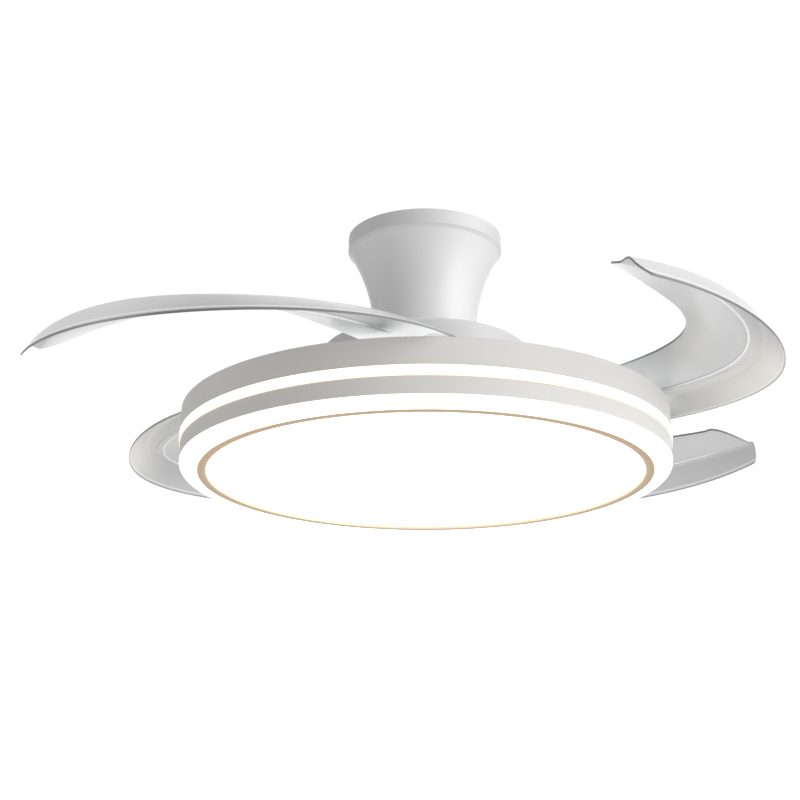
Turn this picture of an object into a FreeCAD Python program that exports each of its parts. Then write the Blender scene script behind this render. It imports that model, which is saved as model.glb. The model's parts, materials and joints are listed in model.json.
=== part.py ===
import FreeCAD, Part
import Sketcher
import math
import os

# Ceiling fan with four folding blades over a round lamp drum.
# Millimetres, +Z up.  The origin is the centre of the ceiling plate, on the ceiling plane,
# so the whole fan hangs below z = 0.  "rim" is the top edge of the lamp drum.

doc = FreeCAD.newDocument("folding_blade_fan")
sheet = doc.addObject("Spreadsheet::Sheet", "Sizes")

SIZES = [
    # overall
    ("ceiling_drop", 202.0), ("drum_radius", 250.0), ("drum_wall", 2.5),
    ("upper_band_height", 26.2), ("slit_height", 10.4), ("lower_band_height", 16.6),
    ("slit_proud", 1.0), ("skirt_depth", 8.8), ("bezel_outer", 232.0), ("bezel_inner", 223.4),
    # canopy
    ("canopy_rim_radius", 81.6), ("canopy_band", 15.5), ("canopy_shoulder", 78.4),
    ("canopy_neck_radius", 54.0), ("canopy_flare_radius", 182.3), ("canopy_flare_foot", 90.0),
    ("canopy_foot", 76.0), ("canopy_wall", 2.0),
    # ceiling plate and hanger
    ("plate_radius", 70.0), ("plate_thick", 3.0), ("fixing_circle", 55.0), ("fixing_hole", 2.75),
    ("tube_radius", 13.45), ("shaft_radius", 10.0), ("shaft_bore", 6.5), ("pin_height", 94.0),
    ("pin_radius", 3.0),
    # motor
    ("cover_radius", 107.5), ("cover_top", 73.5), ("cover_wall", 2.0), ("shell_radius", 84.0),
    ("shell_bore", 79.0), ("bearing_outer", 21.0), ("bearing_width", 12.0), ("stator_radius", 73.6),
    # blade carrier
    ("tray_radius", 238.0), ("tray_thick", 1.5), ("tray_drop", 14.5), ("pivot_radius", 196.0),
    ("pivot_pin_radius", 5.0), ("pivot_gap", 0.06), ("rotor_phase", 3.1), ("pivot_tilt", 3.5),
    ("pivot_seat", 0.9),
    # folding gear
    ("gear_module", 2.0), ("ring_teeth", 150.0), ("sector_teeth", 46.0), ("fold_angle", 58.6),
    ("gear_thick", 4.0), ("gear_drop", 8.5), ("tooth_backlash", 0.5),
    # blade
    ("blade_arc_radius", 234.0), ("blade_arc_offset", 186.6), ("blade_arc_bearing", -61.5),
    ("blade_root_angle", 57.0), ("blade_span", 127.4), ("blade_thick", 1.9),
    ("blade_boss_radius", 16.0),
    # lamp
    ("pan_drop", 20.0), ("pan_thick", 1.5), ("board_inner", 84.0), ("board_outer", 214.0),
    ("board_thick", 1.6), ("diffuser_radius", 230.5), ("diffuser_thick", 2.0),
]
for row, (name, value) in enumerate(SIZES, start=1):
    sheet.set("A%d" % row, name)
    sheet.set("B%d" % row, repr(value))
    sheet.setAlias("B%d" % row, name)
doc.recompute()


class Size:
    """A length with the sheet expression it came from."""

    def __init__(self, text, value):
        self.text = text
        self.value = float(value)

    def __add__(self, other):
        other = size(other)
        return Size("(%s + %s)" % (self.text, other.text), self.value + other.value)

    __radd__ = __add__

    def __sub__(self, other):
        other = size(other)
        return Size("(%s - %s)" % (self.text, other.text), self.value - other.value)

    def __rsub__(self, other):
        return size(other) - self

    def __mul__(self, other):
        other = size(other)
        return Size("(%s * %s)" % (self.text, other.text), self.value * other.value)

    __rmul__ = __mul__

    def __truediv__(self, other):
        other = size(other)
        return Size("(%s / %s)" % (self.text, other.text), self.value / other.value)

    def __neg__(self):
        return Size("(0 - %s)" % self.text, -self.value)


def size(x):
    if isinstance(x, Size):
        return x
    if x < 0:
        return Size("(0 - %r)" % (-float(x)), x)
    return Size("%r" % float(x), x)


VALUES = dict(SIZES)


def S(name):
    return Size("Sizes." + name, VALUES[name])


RIM = -S("ceiling_drop")


def up(z):
    """Height above the drum's rim, as a height in the fan's frame."""
    return RIM + z


NODES = []


def keep(obj, label):
    obj.Label = label
    NODES.append(obj)
    return obj


def bind(obj, prop, s):
    s = size(s)
    obj.setExpression(prop, s.text)


# ---------------------------------------------------------------- sketch helpers

def plane(body, role):
    for f in body.Origin.OriginFeatures:
        if f.Role == role:
            return f


def new_sketch(body, name, role, offset=None):
    sk = body.newObject("Sketcher::SketchObject", name)
    sk.AttachmentSupport = [(plane(body, role), "")]
    sk.MapMode = "FlatFace"
    if offset is not None:
        bind(sk, "AttachmentOffset.Base.z", offset)
    return sk


def pin_point(sk, geo, pos, x, y):
    x, y = size(x), size(y)
    if abs(x.value) < 1e-9:
        sk.addConstraint(Sketcher.Constraint("PointOnObject", geo, pos, -2))
    else:
        i = sk.addConstraint(Sketcher.Constraint("DistanceX", -1, 1, geo, pos, x.value))
        sk.setExpression("Constraints[%d]" % i, x.text)
    if abs(y.value) < 1e-9:
        sk.addConstraint(Sketcher.Constraint("PointOnObject", geo, pos, -1))
    else:
        i = sk.addConstraint(Sketcher.Constraint("DistanceY", -1, 1, geo, pos, y.value))
        sk.setExpression("Constraints[%d]" % i, y.text)


def outline(sk, pts):
    """Closed outline.  Each entry is (x, y) or (x, y, radius): the radius bends the side
    from this corner to the next; positive turns left, negative turns right."""
    n = len(pts)
    segs = []
    for i in range(n):
        a, b = pts[i], pts[(i + 1) % n]
        ax, ay, bx, by = size(a[0]).value, size(a[1]).value, size(b[0]).value, size(b[1]).value
        if len(a) == 3:
            r = size(a[2])
            dx, dy = bx - ax, by - ay
            half = math.hypot(dx, dy) / 2
            rise = math.sqrt(max(r.value ** 2 - half ** 2, 0))
            sign = 1 if r.value > 0 else -1
            nx, ny = -dy / (2 * half), dx / (2 * half)
            cx, cy = (ax + bx) / 2 + sign * nx * rise, (ay + by) / 2 + sign * ny * rise
            a0, a1 = math.atan2(ay - cy, ax - cx), math.atan2(by - cy, bx - cx)
            if sign < 0:
                a0, a1 = a1, a0
            circle = Part.Circle(FreeCAD.Vector(cx, cy, 0), FreeCAD.Vector(0, 0, 1), abs(r.value))
            g = sk.addGeometry(Part.ArcOfCircle(circle, a0, a1), False)
            segs.append((g, 1 if sign > 0 else 2, 2 if sign > 0 else 1, abs(r.value), a[2]))
        else:
            g = sk.addGeometry(Part.LineSegment(FreeCAD.Vector(ax, ay, 0), FreeCAD.Vector(bx, by, 0)), False)
            segs.append((g, 1, 2, None, None))
    for i in range(n):
        g, s, e, _, _ = segs[i]
        g2, s2, _, _, _ = segs[(i + 1) % n]
        sk.addConstraint(Sketcher.Constraint("Coincident", g, e, g2, s2))
    for i in range(n):
        pin_point(sk, segs[i][0], segs[i][1], pts[i][0], pts[i][1])
    for g, s, e, r, expr in segs:
        if r is not None:
            k = sk.addConstraint(Sketcher.Constraint("Radius", g, r))
            t = size(expr)
            sk.setExpression("Constraints[%d]" % k, t.text if t.value > 0 else "(0 - %s)" % t.text)


def ring_hole(sk, x, y, r):
    g = sk.addGeometry(Part.Circle(FreeCAD.Vector(size(x).value, size(y).value, 0), FreeCAD.Vector(0, 0, 1), size(r).value), False)
    pin_point(sk, g, 3, x, y)
    k = sk.addConstraint(Sketcher.Constraint("Radius", g, size(r).value))
    sk.setExpression("Constraints[%d]" % k, size(r).text)


def turned(label, pts):
    """A piece of revolution about the fan's axis, from its half section (r, z)."""
    body = doc.addObject("PartDesign::Body", label + "_body")
    sk = new_sketch(body, label + "_section", "XZ_Plane")
    outline(sk, pts)
    rev = body.newObject("PartDesign::Revolution", label + "_turn")
    rev.Profile = sk
    rev.ReferenceAxis = (sk, ["V_Axis"])
    rev.Angle = 360
    body.Tip = rev
    return keep(body, label)


def padded(label, z, height, shapes):
    """A flat piece: outlines and round holes drawn at height z, thickened upward."""
    body = doc.addObject("PartDesign::Body", label + "_body")
    sk = new_sketch(body, label + "_plan", "XY_Plane", z)
    for s in shapes:
        if s[0] == "circle":
            ring_hole(sk, s[1], s[2], s[3])
        else:
            outline(sk, s[1])
    pad = body.newObject("PartDesign::Pad", label + "_pad")
    pad.Profile = sk
    bind(pad, "Length", height)
    body.Tip = pad
    return keep(body, label)


def drilled(body, name, z, depth, shapes, count, angle0=0.0, downward=True):
    """Cut holes drawn at height z and repeat them around the axis."""
    doc.recompute()
    before = body.Shape.Volume
    sk = new_sketch(body, name + "_plan", "XY_Plane", z)
    for s in shapes:
        if s[0] == "circle":
            ring_hole(sk, s[1], s[2], s[3])
        else:
            outline(sk, s[1])
    cut = body.newObject("PartDesign::Pocket", name)
    cut.Profile = sk
    bind(cut, "Length", depth)
    cut.Reversed = not downward
    body.Tip = cut
    if count > 1:
        pat = body.newObject("PartDesign::PolarPattern", name + "_ring")
        pat.Originals = [cut]
        pat.Axis = (plane(body, "Z_Axis"), [""])
        pat.Angle = 360
        pat.Occurrences = count
        body.Tip = pat
    doc.recompute()
    after = body.Shape.Volume
    assert after < before - 0.5, "no material removed by " + name
    return body


def cylinder(name, r, length, x, y, z, axis=None, angle=0.0):
    c = doc.addObject("Part::Cylinder", name)
    bind(c, "Radius", r)
    bind(c, "Height", length)
    if axis is not None:
        c.Placement = FreeCAD.Placement(FreeCAD.Vector(0, 0, 0), FreeCAD.Rotation(FreeCAD.Vector(*axis), angle))
    bind(c, "Placement.Base.x", x)
    bind(c, "Placement.Base.y", y)
    bind(c, "Placement.Base.z", z)
    return c


def box(name, x, y, z, lx, ly, lz):
    b = doc.addObject("Part::Box", name)
    bind(b, "Length", lx)
    bind(b, "Width", ly)
    bind(b, "Height", lz)
    bind(b, "Placement.Base.x", x)
    bind(b, "Placement.Base.y", y)
    bind(b, "Placement.Base.z", z)
    return b


def fused(name, parts):
    f = doc.addObject("Part::MultiFuse", name)
    f.Shapes = parts
    return f


def less(name, base, tool):
    c = doc.addObject("Part::Cut", name)
    c.Base = base
    c.Tool = tool
    return c


def deg(a):
    """cos and sin of an angle in degrees, as plain factors."""
    return math.cos(math.radians(a)), math.sin(math.radians(a))


def screws(label, count, circle, angle0, seat, shank_r, shank_len, head_r, head_len, up_side=True):
    """Identical screws standing on a circle.  seat is the face under the head; the shank
    runs down from it (up_side) or up from it."""
    parts = []
    for k in range(count):
        c, s = deg(angle0 + 360.0 * k / count)
        x, y = circle * c, circle * s
        if up_side:
            shank = cylinder("%s_shank%d" % (label, k), shank_r, size(shank_len) + 0.5, x, y, seat - shank_len)
            head = cylinder("%s_head%d" % (label, k), head_r, head_len, x, y, seat)
        else:
            shank = cylinder("%s_shank%d" % (label, k), shank_r, size(shank_len) + 0.5, x, y, seat - 0.5)
            head = cylinder("%s_head%d" % (label, k), head_r, head_len, x, y, seat - head_len)
        socket = cylinder("%s_drive%d" % (label, k), size(head_r) * 0.45, size(head_len) * 0.55, x, y,
                          (seat + size(head_len) * 0.45) if up_side else (seat - head_len))
        parts.append(less("%s_one%d" % (label, k), fused("%s_blank%d" % (label, k), [shank, head]), socket))
    return keep(fused(label + "_group", parts), label)


# ---------------------------------------------------------------- ceiling plate and hanger

plate = padded("ceiling_plate", -S("plate_thick"), S("plate_thick"),
               [("circle", 0.0, 0.0, S("plate_radius")), ("circle", 0.0, 0.0, 9.0),
                ])
# four fixing holes on the fixing circle
drilled(plate, "fixing_holes", 0.0, S("plate_thick"),
        [("circle", 0.0, S("fixing_circle"), S("fixing_hole"))], 4)
# threaded holes for the four hanger bolts
c45 = deg(45)[0]
drilled(plate, "hanger_bolt_holes", 0.0, S("plate_thick"),
        [("circle", 23.0 * c45, 23.0 * c45, 2.6)], 4)
# two bent ears that the canopy is screwed to, on the far side, and one hook ear
sk = new_sketch(plate, "ear_plan", "XY_Plane", -S("plate_thick"))
for a in (35.0, 145.0, 270.0):
    c, s = deg(a)
    hw = 9.0
    sk_pts = [(c * 66.0 + s * hw, s * 66.0 - c * hw), (c * 79.0 + s * hw, s * 79.0 - c * hw),
              (c * 79.0 - s * hw, s * 79.0 + c * hw), (c * 66.0 - s * hw, s * 66.0 + c * hw)]
    outline(sk, sk_pts)
ear = plate.newObject("PartDesign::Pad", "ears")
ear.Profile = sk
bind(ear, "Length", S("plate_thick"))
sk = new_sketch(plate, "ear_drop_plan", "XY_Plane", -S("plate_thick"))
for a in (35.0, 145.0, 270.0):
    c, s = deg(a)
    hw = 9.0
    outline(sk, [(c * 77.0 + s * hw, s * 77.0 - c * hw), (c * 79.0 + s * hw, s * 79.0 - c * hw),
                 (c * 79.0 - s * hw, s * 79.0 + c * hw), (c * 77.0 - s * hw, s * 77.0 + c * hw)])
drop = plate.newObject("PartDesign::Pad", "ear_drops")
drop.Profile = sk
bind(drop, "Length", 12.0)
drop.Reversed = True
plate.Tip = drop

# canopy ear screws pass radially through the canopy's band into the ears
screw_z = -9.0
parts, tools = [], []
for k, a in enumerate((35.0, 145.0)):
    c, s = deg(a)
    shank = cylinder("canopy_screw_shank%d" % k, 1.9, 7.5, c * 75.6, s * 75.6, screw_z, (-s, c, 0), 90)
    head = cylinder("canopy_screw_head%d" % k, 3.6, 2.0, c * 81.9, s * 81.9, screw_z, (-s, c, 0), 90)
    slot = cylinder("canopy_screw_drive%d" % k, 1.5, 1.2, c * 82.9, s * 82.9, screw_z, (-s, c, 0), 90)
    parts.append(less("canopy_screw_one%d" % k, fused("canopy_screw_blank%d" % k, [shank, head]), slot))
    tools.append(cylinder("ear_hole%d" % k, 2.0, 14.0, c * 72.0, s * 72.0, screw_z, (-s, c, 0), 90))
keep(fused("canopy_screw_group", parts), "canopy_screws")
NODES.remove(plate)
plate.Label = "ceiling_plate_blank"
keep(less("ceiling_plate_drilled", plate, fused("ear_holes", tools)), "ceiling_plate")

# canopy: a thin shell with an upright band, a small shoulder and one long hollow flare
w = S("canopy_wall")
foot_z, flare_z = up(S("canopy_foot")), up(S("canopy_flare_foot"))
band_z = -0.5 - S("canopy_band")
canopy_body = turned("canopy_shell", [
    (S("canopy_rim_radius"), -0.5), (S("canopy_rim_radius"), band_z),
    (S("canopy_shoulder"), band_z - 3.0, S("canopy_flare_radius")),
    (S("canopy_neck_radius"), flare_z), (S("canopy_neck_radius"), foot_z),
    (S("canopy_neck_radius") - w, foot_z),
    (S("canopy_neck_radius") - w, flare_z, -(S("canopy_flare_radius") + w)),
    (S("canopy_shoulder") - w - 0.25, band_z - 3.0), (S("canopy_rim_radius") - w, band_z + 0.6),
    (S("canopy_rim_radius") - w, -0.5)])
NODES.remove(canopy_body)
tools = []
for k, a in enumerate((35.0, 145.0)):
    c, s = deg(a)
    tools.append(cylinder("canopy_hole%d" % k, 2.1, 14.0, c * 76.0, s * 76.0, screw_z, (-s, c, 0), 90))
keep(less("canopy_drilled", canopy_body, fused("canopy_holes", tools)), "canopy")

# hanger tube with its top flange
t = S("tube_radius")
shaft_r = S("shaft_radius")
tube_top = -S("plate_thick")
tube = turned("hanger_tube_blank", [
    (shaft_r + 0.1, up(80.0)), (t, up(80.0)), (t, tube_top - 5.0), (t + 3.0, tube_top - 3.0), (31.0, tube_top - 3.0),
    (31.0, tube_top), (shaft_r + 0.1, tube_top)])
NODES.remove(tube)
drilled(tube, "hanger_flange_holes", tube_top, 3.0, [("circle", 23.0 * c45, 23.0 * c45, 2.6)], 4)
pin_z = up(S("pin_height"))
pr = S("pin_radius")
keep(less("hanger_tube_drilled", tube,
          cylinder("tube_pin_hole", pr + 0.05, 60.0, -30.0, 0.0, pin_z, (0, 1, 0), 90)), "hanger_tube")
screws("hanger_bolts", 4, 23.0, 45.0, tube_top - 3.0, 2.5, 5.5, 4.6, 3.6, up_side=False)

# coupling collar, cross pin and its clip
collar = turned("coupling_collar_blank", [
    (t, up(82.0)), (t + 5.5, up(82.0)), (t + 6.5, up(83.0)), (t + 6.5, up(104.0)), (t + 5.5, up(105.0)), (t, up(105.0))])
NODES.remove(collar)
keep(less("coupling_collar_drilled", collar,
          cylinder("collar_pin_hole", pr + 0.05, 60.0, -30.0, 0.0, pin_z, (0, 1, 0), 90)), "coupling_collar")
pin = fused("cross_pin_blank", [
    cylinder("cross_pin_shank", pr, 50.0, -21.0, 0.0, pin_z, (0, 1, 0), 90),
    cylinder("cross_pin_head", 4.6, 2.4, -22.4, 0.0, pin_z, (0, 1, 0), 90)])
keep(less("cross_pin_drilled", pin, cylinder("clip_hole", 0.9, 12.0, 25.0, 0.0, pin_z - 6.0)), "cross_pin")
clip = doc.addObject("Part::Feature", "pin_clip_wire")
# spring clip: a straight leg through the pin and a loop beside it
wire_r = 0.8
px, pz = 25.0, pin_z.value
leg = Part.makeCylinder(wire_r, 9.0, FreeCAD.Vector(px, 0, pz - 5.0))
bend = Part.makeTorus(3.9, wire_r, FreeCAD.Vector(px, 3.9, pz - 5.0), FreeCAD.Vector(1, 0, 0), -180, 180, 360)
half = Part.makeBox(4, 12, 6, FreeCAD.Vector(px - 2, -2, pz - 11.0))
bend = bend.common(half)
back = Part.makeCylinder(wire_r, 8.0, FreeCAD.Vector(px, 7.8, pz - 5.0))
clip.Shape = leg.fuse([bend, back]).removeSplitter()
keep(clip, "pin_clip")

# wireless receiver strapped to the tube, and the supply terminal block on the plate
rec = fused("receiver_parts", [
    box("receiver_case", 15.6, -21.0, up(110.0), 24.0, 42.0, 70.0),
    box("receiver_rib_low", 14.0, -12.0, up(116.0), 2.0, 24.0, 3.0),
    box("receiver_rib_high", 14.0, -12.0, up(170.0), 2.0, 24.0, 3.0)])
keep(less("receiver_on_tube", rec, cylinder("receiver_tube_gap", t + 0.05, 90.0, 0.0, 0.0, up(100.0))), "remote_receiver")
keep(less("strap_band", cylinder("strap_outer", t + 1.6, 10.0, 0.0, 0.0, up(140.0)),
          cylinder("strap_inner", t, 12.0, 0.0, 0.0, up(139.0))), "receiver_strap")
blk = fused("terminal_parts", [box("terminal_base", -54.0, -16.0, tube_top - 12.0, 18.0, 32.0, 12.0),
                               box("terminal_ridge", -49.0, -16.0, tube_top - 15.0, 8.0, 32.0, 4.0)])
holes = fused("terminal_wells", [cylinder("well%d" % k, 2.0, 6.0, -45.0, -10.0 + 10.0 * k, tube_top - 16.0) for k in range(3)])
keep(less("terminal_cut", blk, holes), "terminal_block")

# ---------------------------------------------------------------- motor

shaft = turned("motor_shaft_blank", [
    (S("shaft_bore"), up(-33.0)), (shaft_r - 1.0, up(-33.0)), (shaft_r, up(-32.0)), (shaft_r, up(-20.0)),
    (20.0, up(-20.0)), (20.0, up(-16.6)), (shaft_r + 1.5, up(-16.6)), (shaft_r + 1.5, up(-9.0)), (shaft_r, up(-9.0)),
    (shaft_r, up(110.0)), (S("shaft_bore"), up(110.0))])
NODES.remove(shaft)
keep(less("motor_shaft_drilled", shaft,
          cylinder("shaft_pin_hole", pr + 0.05, 60.0, -30.0, 0.0, pin_z, (0, 1, 0), 90)), "motor_shaft")

br, bw = S("bearing_outer"), S("bearing_width")
low_b, high_b = up(-8.0), up(44.0)
rings_in, rings_out, balls = [], [], []
for tag, z in (("low", low_b), ("high", high_b)):
    rings_in.append(less("inner_ring_" + tag, cylinder("inner_ring_%s_o" % tag, 12.5, bw, 0.0, 0.0, z),
                         cylinder("inner_ring_%s_i" % tag, shaft_r, bw + 2.0, 0.0, 0.0, z - 1.0)))
    rings_out.append(less("outer_ring_" + tag, cylinder("outer_ring_%s_o" % tag, br, bw, 0.0, 0.0, z),
                          cylinder("outer_ring_%s_i" % tag, 18.5, bw + 2.0, 0.0, 0.0, z - 1.0)))
    for k in range(9):
        c, s = deg(40.0 * k)
        b = doc.addObject("Part::Sphere", "ball_%s_%d" % (tag, k))
        b.Radius = 2.9
        bind(b, "Placement.Base.x", 15.5 * c)
        bind(b, "Placement.Base.y", 15.5 * s)
        bind(b, "Placement.Base.z", z + bw / 2.0)
        balls.append(b)
keep(fused("inner_rings", rings_in), "bearing_inner_rings")
keep(fused("outer_rings", rings_out), "bearing_outer_rings")
keep(fused("balls", balls), "bearing_balls")

# stator: twelve teeth facing the magnets, wound with twelve coils, on a ring pressed on the shaft
so = S("stator_radius")
core = padded("stator_core", up(15.0), 21.0, [("circle", 0.0, 0.0, 40.0), ("circle", 0.0, 0.0, shaft_r)])
sk = new_sketch(core, "tooth_plan", "XY_Plane", up(15.0))
outline(sk, [(38.0, -4.0), (66.0, -4.0), (69.0, -14.5), (so - 1.6, -15.5, so), (so - 1.6, 15.5), (69.0, 14.5), (66.0, 4.0), (38.0, 4.0)])
tooth = core.newObject("PartDesign::Pad", "tooth")
tooth.Profile = sk
bind(tooth, "Length", 21.0)
pat = core.newObject("PartDesign::PolarPattern", "teeth")
pat.Originals = [tooth]
pat.Axis = (plane(core, "Z_Axis"), [""])
pat.Angle = 360
pat.Occurrences = 12
core.Tip = pat
coils = []
for k in range(12):
    ang = 30.0 * k
    o = Part.makeBox(22.0, 15.0, 29.0, FreeCAD.Vector(43.0, -7.5, RIM.value + 11.0))
    i = Part.makeBox(24.0, 8.4, 21.4, FreeCAD.Vector(42.0, -4.2, RIM.value + 14.8))
    one = o.cut(i)
    one.rotate(FreeCAD.Vector(0, 0, 0), FreeCAD.Vector(0, 0, 1), ang)
    coils.append(one)
f = doc.addObject("Part::Feature", "coil_ring")
f.Shape = Part.makeCompound(coils)
keep(f, "stator_coils")

sr, sb = S("shell_radius"), S("shell_bore")
low_shell = turned("rotor_lower_shell", [
    (14.0, up(-14.5)), (98.0, up(-14.5)), (98.0, up(-11.5)), (sr, up(-11.5)), (sr, up(7.0)), (92.0, up(7.0)),
    (92.0, up(11.0)), (sb, up(11.0)), (sb, up(-6.0)), (26.0, up(-6.0)), (26.0, up(4.0)), (br, up(4.0)),
    (br, up(-8.0)), (14.0, up(-8.0))])
drilled(low_shell, "flange_holes", up(-11.5), 3.0, [("circle", 92.0, 0.0, 2.05)], 8)
drilled(low_shell, "joint_holes_low", up(11.0), 4.0, [("circle", 88.0, 0.0, 1.55)], 6)
high_shell = turned("rotor_upper_shell", [
    (sb, up(11.0)), (92.0, up(11.0)), (92.0, up(15.0)), (sr, up(15.0)), (sr, up(53.0), 5.0), (sr - 5.0, up(58.0)),
    (14.0, up(58.0)), (14.0, up(56.0)), (br, up(56.0)), (br, up(44.0)), (26.0, up(44.0)), (26.0, up(53.0)), (sb, up(53.0))])
drilled(high_shell, "joint_holes_high", up(15.0), 4.0, [("circle", 88.0, 0.0, 1.55)], 6)
drilled(high_shell, "cover_boss_holes", up(58.0), 5.0, [("circle", 64.0, 0.0, 1.9)], 4)
screws("rotor_joint_screws", 6, 88.0, 0.0, up(15.0), 1.5, 7.6, 2.9, 2.2)
screws("tray_screws", 8, 92.0, 0.0, up(-11.5), 2.0, 4.5, 3.6, 2.6)

magnets = []
for k in range(14):
    a0 = 360.0 * k / 14
    wedge = Part.makeCylinder(sb.value, 25.0, FreeCAD.Vector(0, 0, RIM.value + 13.0), FreeCAD.Vector(0, 0, 1), 23.0).cut(
        Part.makeCylinder(so.value + 0.9, 27.0, FreeCAD.Vector(0, 0, RIM.value + 12.0)))
    wedge.rotate(FreeCAD.Vector(0, 0, 0), FreeCAD.Vector(0, 0, 1), a0)
    magnets.append(wedge)
f = doc.addObject("Part::Feature", "magnet_arcs")
f.Shape = Part.makeCompound(magnets)
keep(f, "rotor_magnets")

# motor cover: a deep inverted cup with four screw bosses inside
cr, ct, cw = S("cover_radius"), S("cover_top"), S("cover_wall")
cover = turned("motor_cover", [
    (30.0, up(ct)), (30.0, up(ct - cw)), (cr - 4.5, up(ct - cw), -2.5), (cr - cw, up(ct - 4.5)),
    (cr - cw, up(-4.5)), (cr, up(-4.5)), (cr, up(ct - 4.5), 4.5), (cr - 4.5, up(ct))])
sk = new_sketch(cover, "boss_plan", "XY_Plane", up(ct - cw))
ring_hole(sk, 64.0, 0.0, 5.0)
boss = cover.newObject("PartDesign::Pad", "boss")
boss.Profile = sk
bind(boss, "Length", ct - cw - 58.0)
boss.Reversed = True
pat = cover.newObject("PartDesign::PolarPattern", "bosses")
pat.Originals = [boss]
pat.Axis = (plane(cover, "Z_Axis"), [""])
pat.Angle = 360
pat.Occurrences = 4
cover.Tip = pat
drilled(cover, "cover_screw_holes", up(ct), 17.0, [("circle", 64.0, 0.0, 2.05)], 4)
screws("motor_cover_screws", 4, 64.0, 0.0, up(ct), 1.85, 18.5, 3.6, 1.6)

# ---------------------------------------------------------------- blade carrier

tz = up(-S("tray_drop"))
tray = turned("blade_tray", [
    (30.0, tz - S("tray_thick")), (S("tray_radius") - 1.5, tz - S("tray_thick")), (S("tray_radius"), tz),
    (S("tray_radius"), tz + 4.5), (S("tray_radius") - 1.5, tz + 4.5), (S("tray_radius") - 1.5, tz), (30.0, tz)])
drilled(tray, "tray_flange_holes", tz, S("tray_thick"), [("circle", 92.0, 0.0, 2.05)], 8)
drilled(tray, "lightening_slots", tz, S("tray_thick"),
        [("circle", 143.0, 128.0, 17.0)], 4)
NODES.remove(tray)
tray.Label = "blade_tray_blank"

# The pivots lean outward by a few degrees, so that the open blades droop past the drum
# and rise as they fold in over it.  Heights along a pivot are taken from the tray's top.
TILT = VALUES["pivot_tilt"]
SEAT = VALUES["pivot_seat"]
tilt_s, tilt_c = math.sin(math.radians(TILT)), math.cos(math.radians(TILT))
piv = S("pivot_radius")
pinr = S("pivot_pin_radius")


def leaning(name, r, length, h, k):
    """Cylinder on the axis of pivot k, from h along that axis."""
    c, s = deg(90.0 * k)
    reach = piv + h * tilt_s
    return cylinder(name, r, length, reach * c, reach * s, tz + h * tilt_c, (-s, c, 0), TILT)


# the ring gear lies as high as the leaning sectors reach where they meet it
lift = VALUES["gear_module"] * VALUES["sector_teeth"] / 2 * tilt_s
pins, washers, feet, guides, seats, bores = [], [], [], [], [], []
for k in range(4):
    # pin: riveted foot through the tray, long bearing shank, flat head in the blade's counterbore
    pins.append(fused("pivot_pin%d" % k, [
        leaning("pin_foot%d" % k, 3.0, VALUES["tray_thick"] + SEAT + 0.5, -VALUES["tray_thick"], k),
        leaning("pin_shank%d" % k, pinr, 28.6 - SEAT, SEAT, k),
        leaning("pin_head%d" % k, 8.5, 2.4, 28.3, k)]))
    washers.append(less("washer%d" % k, leaning("washer_o%d" % k, 10.0, 0.6, SEAT, k),
                        leaning("washer_i%d" % k, pinr, 3.0, SEAT - 1.0, k)))
    # seat pressed up out of the tray under each washer, square to the leaning pin
    seats.append(leaning("seat%d" % k, 12.0, SEAT + 0.75, -0.75, k))
    bores.append(leaning("seat_bore%d" % k, 3.05, 8.0, -4.0, k))
    # guide posts that keep the ring gear central, with a shoulder under it and a lip over it
    c, s = deg(90.0 * k + 10.0)
    gx, gy = 132.4 * c, 132.4 * s
    guides.append(fused("guide%d" % k, [
        cylinder("guide_base%d" % k, 8.0, 1.9 + lift, gx, gy, tz),
        cylinder("guide_post%d" % k, 5.0, 6.4 + lift, gx, gy, tz),
        cylinder("guide_lip%d" % k, 8.0, 1.2, gx, gy, tz + 6.3 + lift)]))
    # feet of the mechanism cover
    c, s = deg(90.0 * k + 58.0)
    feet.append(cylinder("foot%d" % k, 4.5, 12.3, 168.0 * c, 168.0 * s, tz))
keep(less("blade_tray_bored", fused("blade_tray_seated", [tray] + seats), fused("seat_bores", bores)), "blade_tray")
keep(fused("pins", pins), "pivot_pins")
keep(fused("washers", washers), "thrust_washers")
# spring anchor posts
for k in range(2):
    c, s = deg(180.0 * k + 80.0)
    guides.append(fused("anchor%d" % k, [
        cylinder("anchor_post%d" % k, 2.5, 7.5 + lift, 122.0 * c, 122.0 * s, tz),
        cylinder("anchor_cap%d" % k, 3.5, 1.0, 122.0 * c, 122.0 * s, tz + 6.8 + lift)]))
keep(fused("guides", guides + feet), "carrier_posts")

mech = turned("mechanism_cover", [
    (109.0, up(-2.2)), (174.0, up(-2.2)), (176.0, up(-3.7)), (177.0, up(-3.7)), (177.0, up(-1.2)), (109.0, up(-1.2))])
mc_c, mc_s = deg(58.0)
drilled(mech, "mechanism_screw_holes", up(-1.2), 1.0, [("circle", 168.0 * mc_c, 168.0 * mc_s, 1.55)], 4)
screws("mechanism_cover_screws", 4, 168.0, 58.0, up(-1.2), 1.5, 0.95, 2.9, 1.6)

# ---------------------------------------------------------------- folding gear train

mod = VALUES["gear_module"]
R_ring = mod * VALUES["ring_teeth"] / 2
R_sec = mod * VALUES["sector_teeth"] / 2
gz = up(-S("gear_drop")) - S("gear_thick")      # underside of the gears
back = VALUES["tooth_backlash"]


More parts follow.
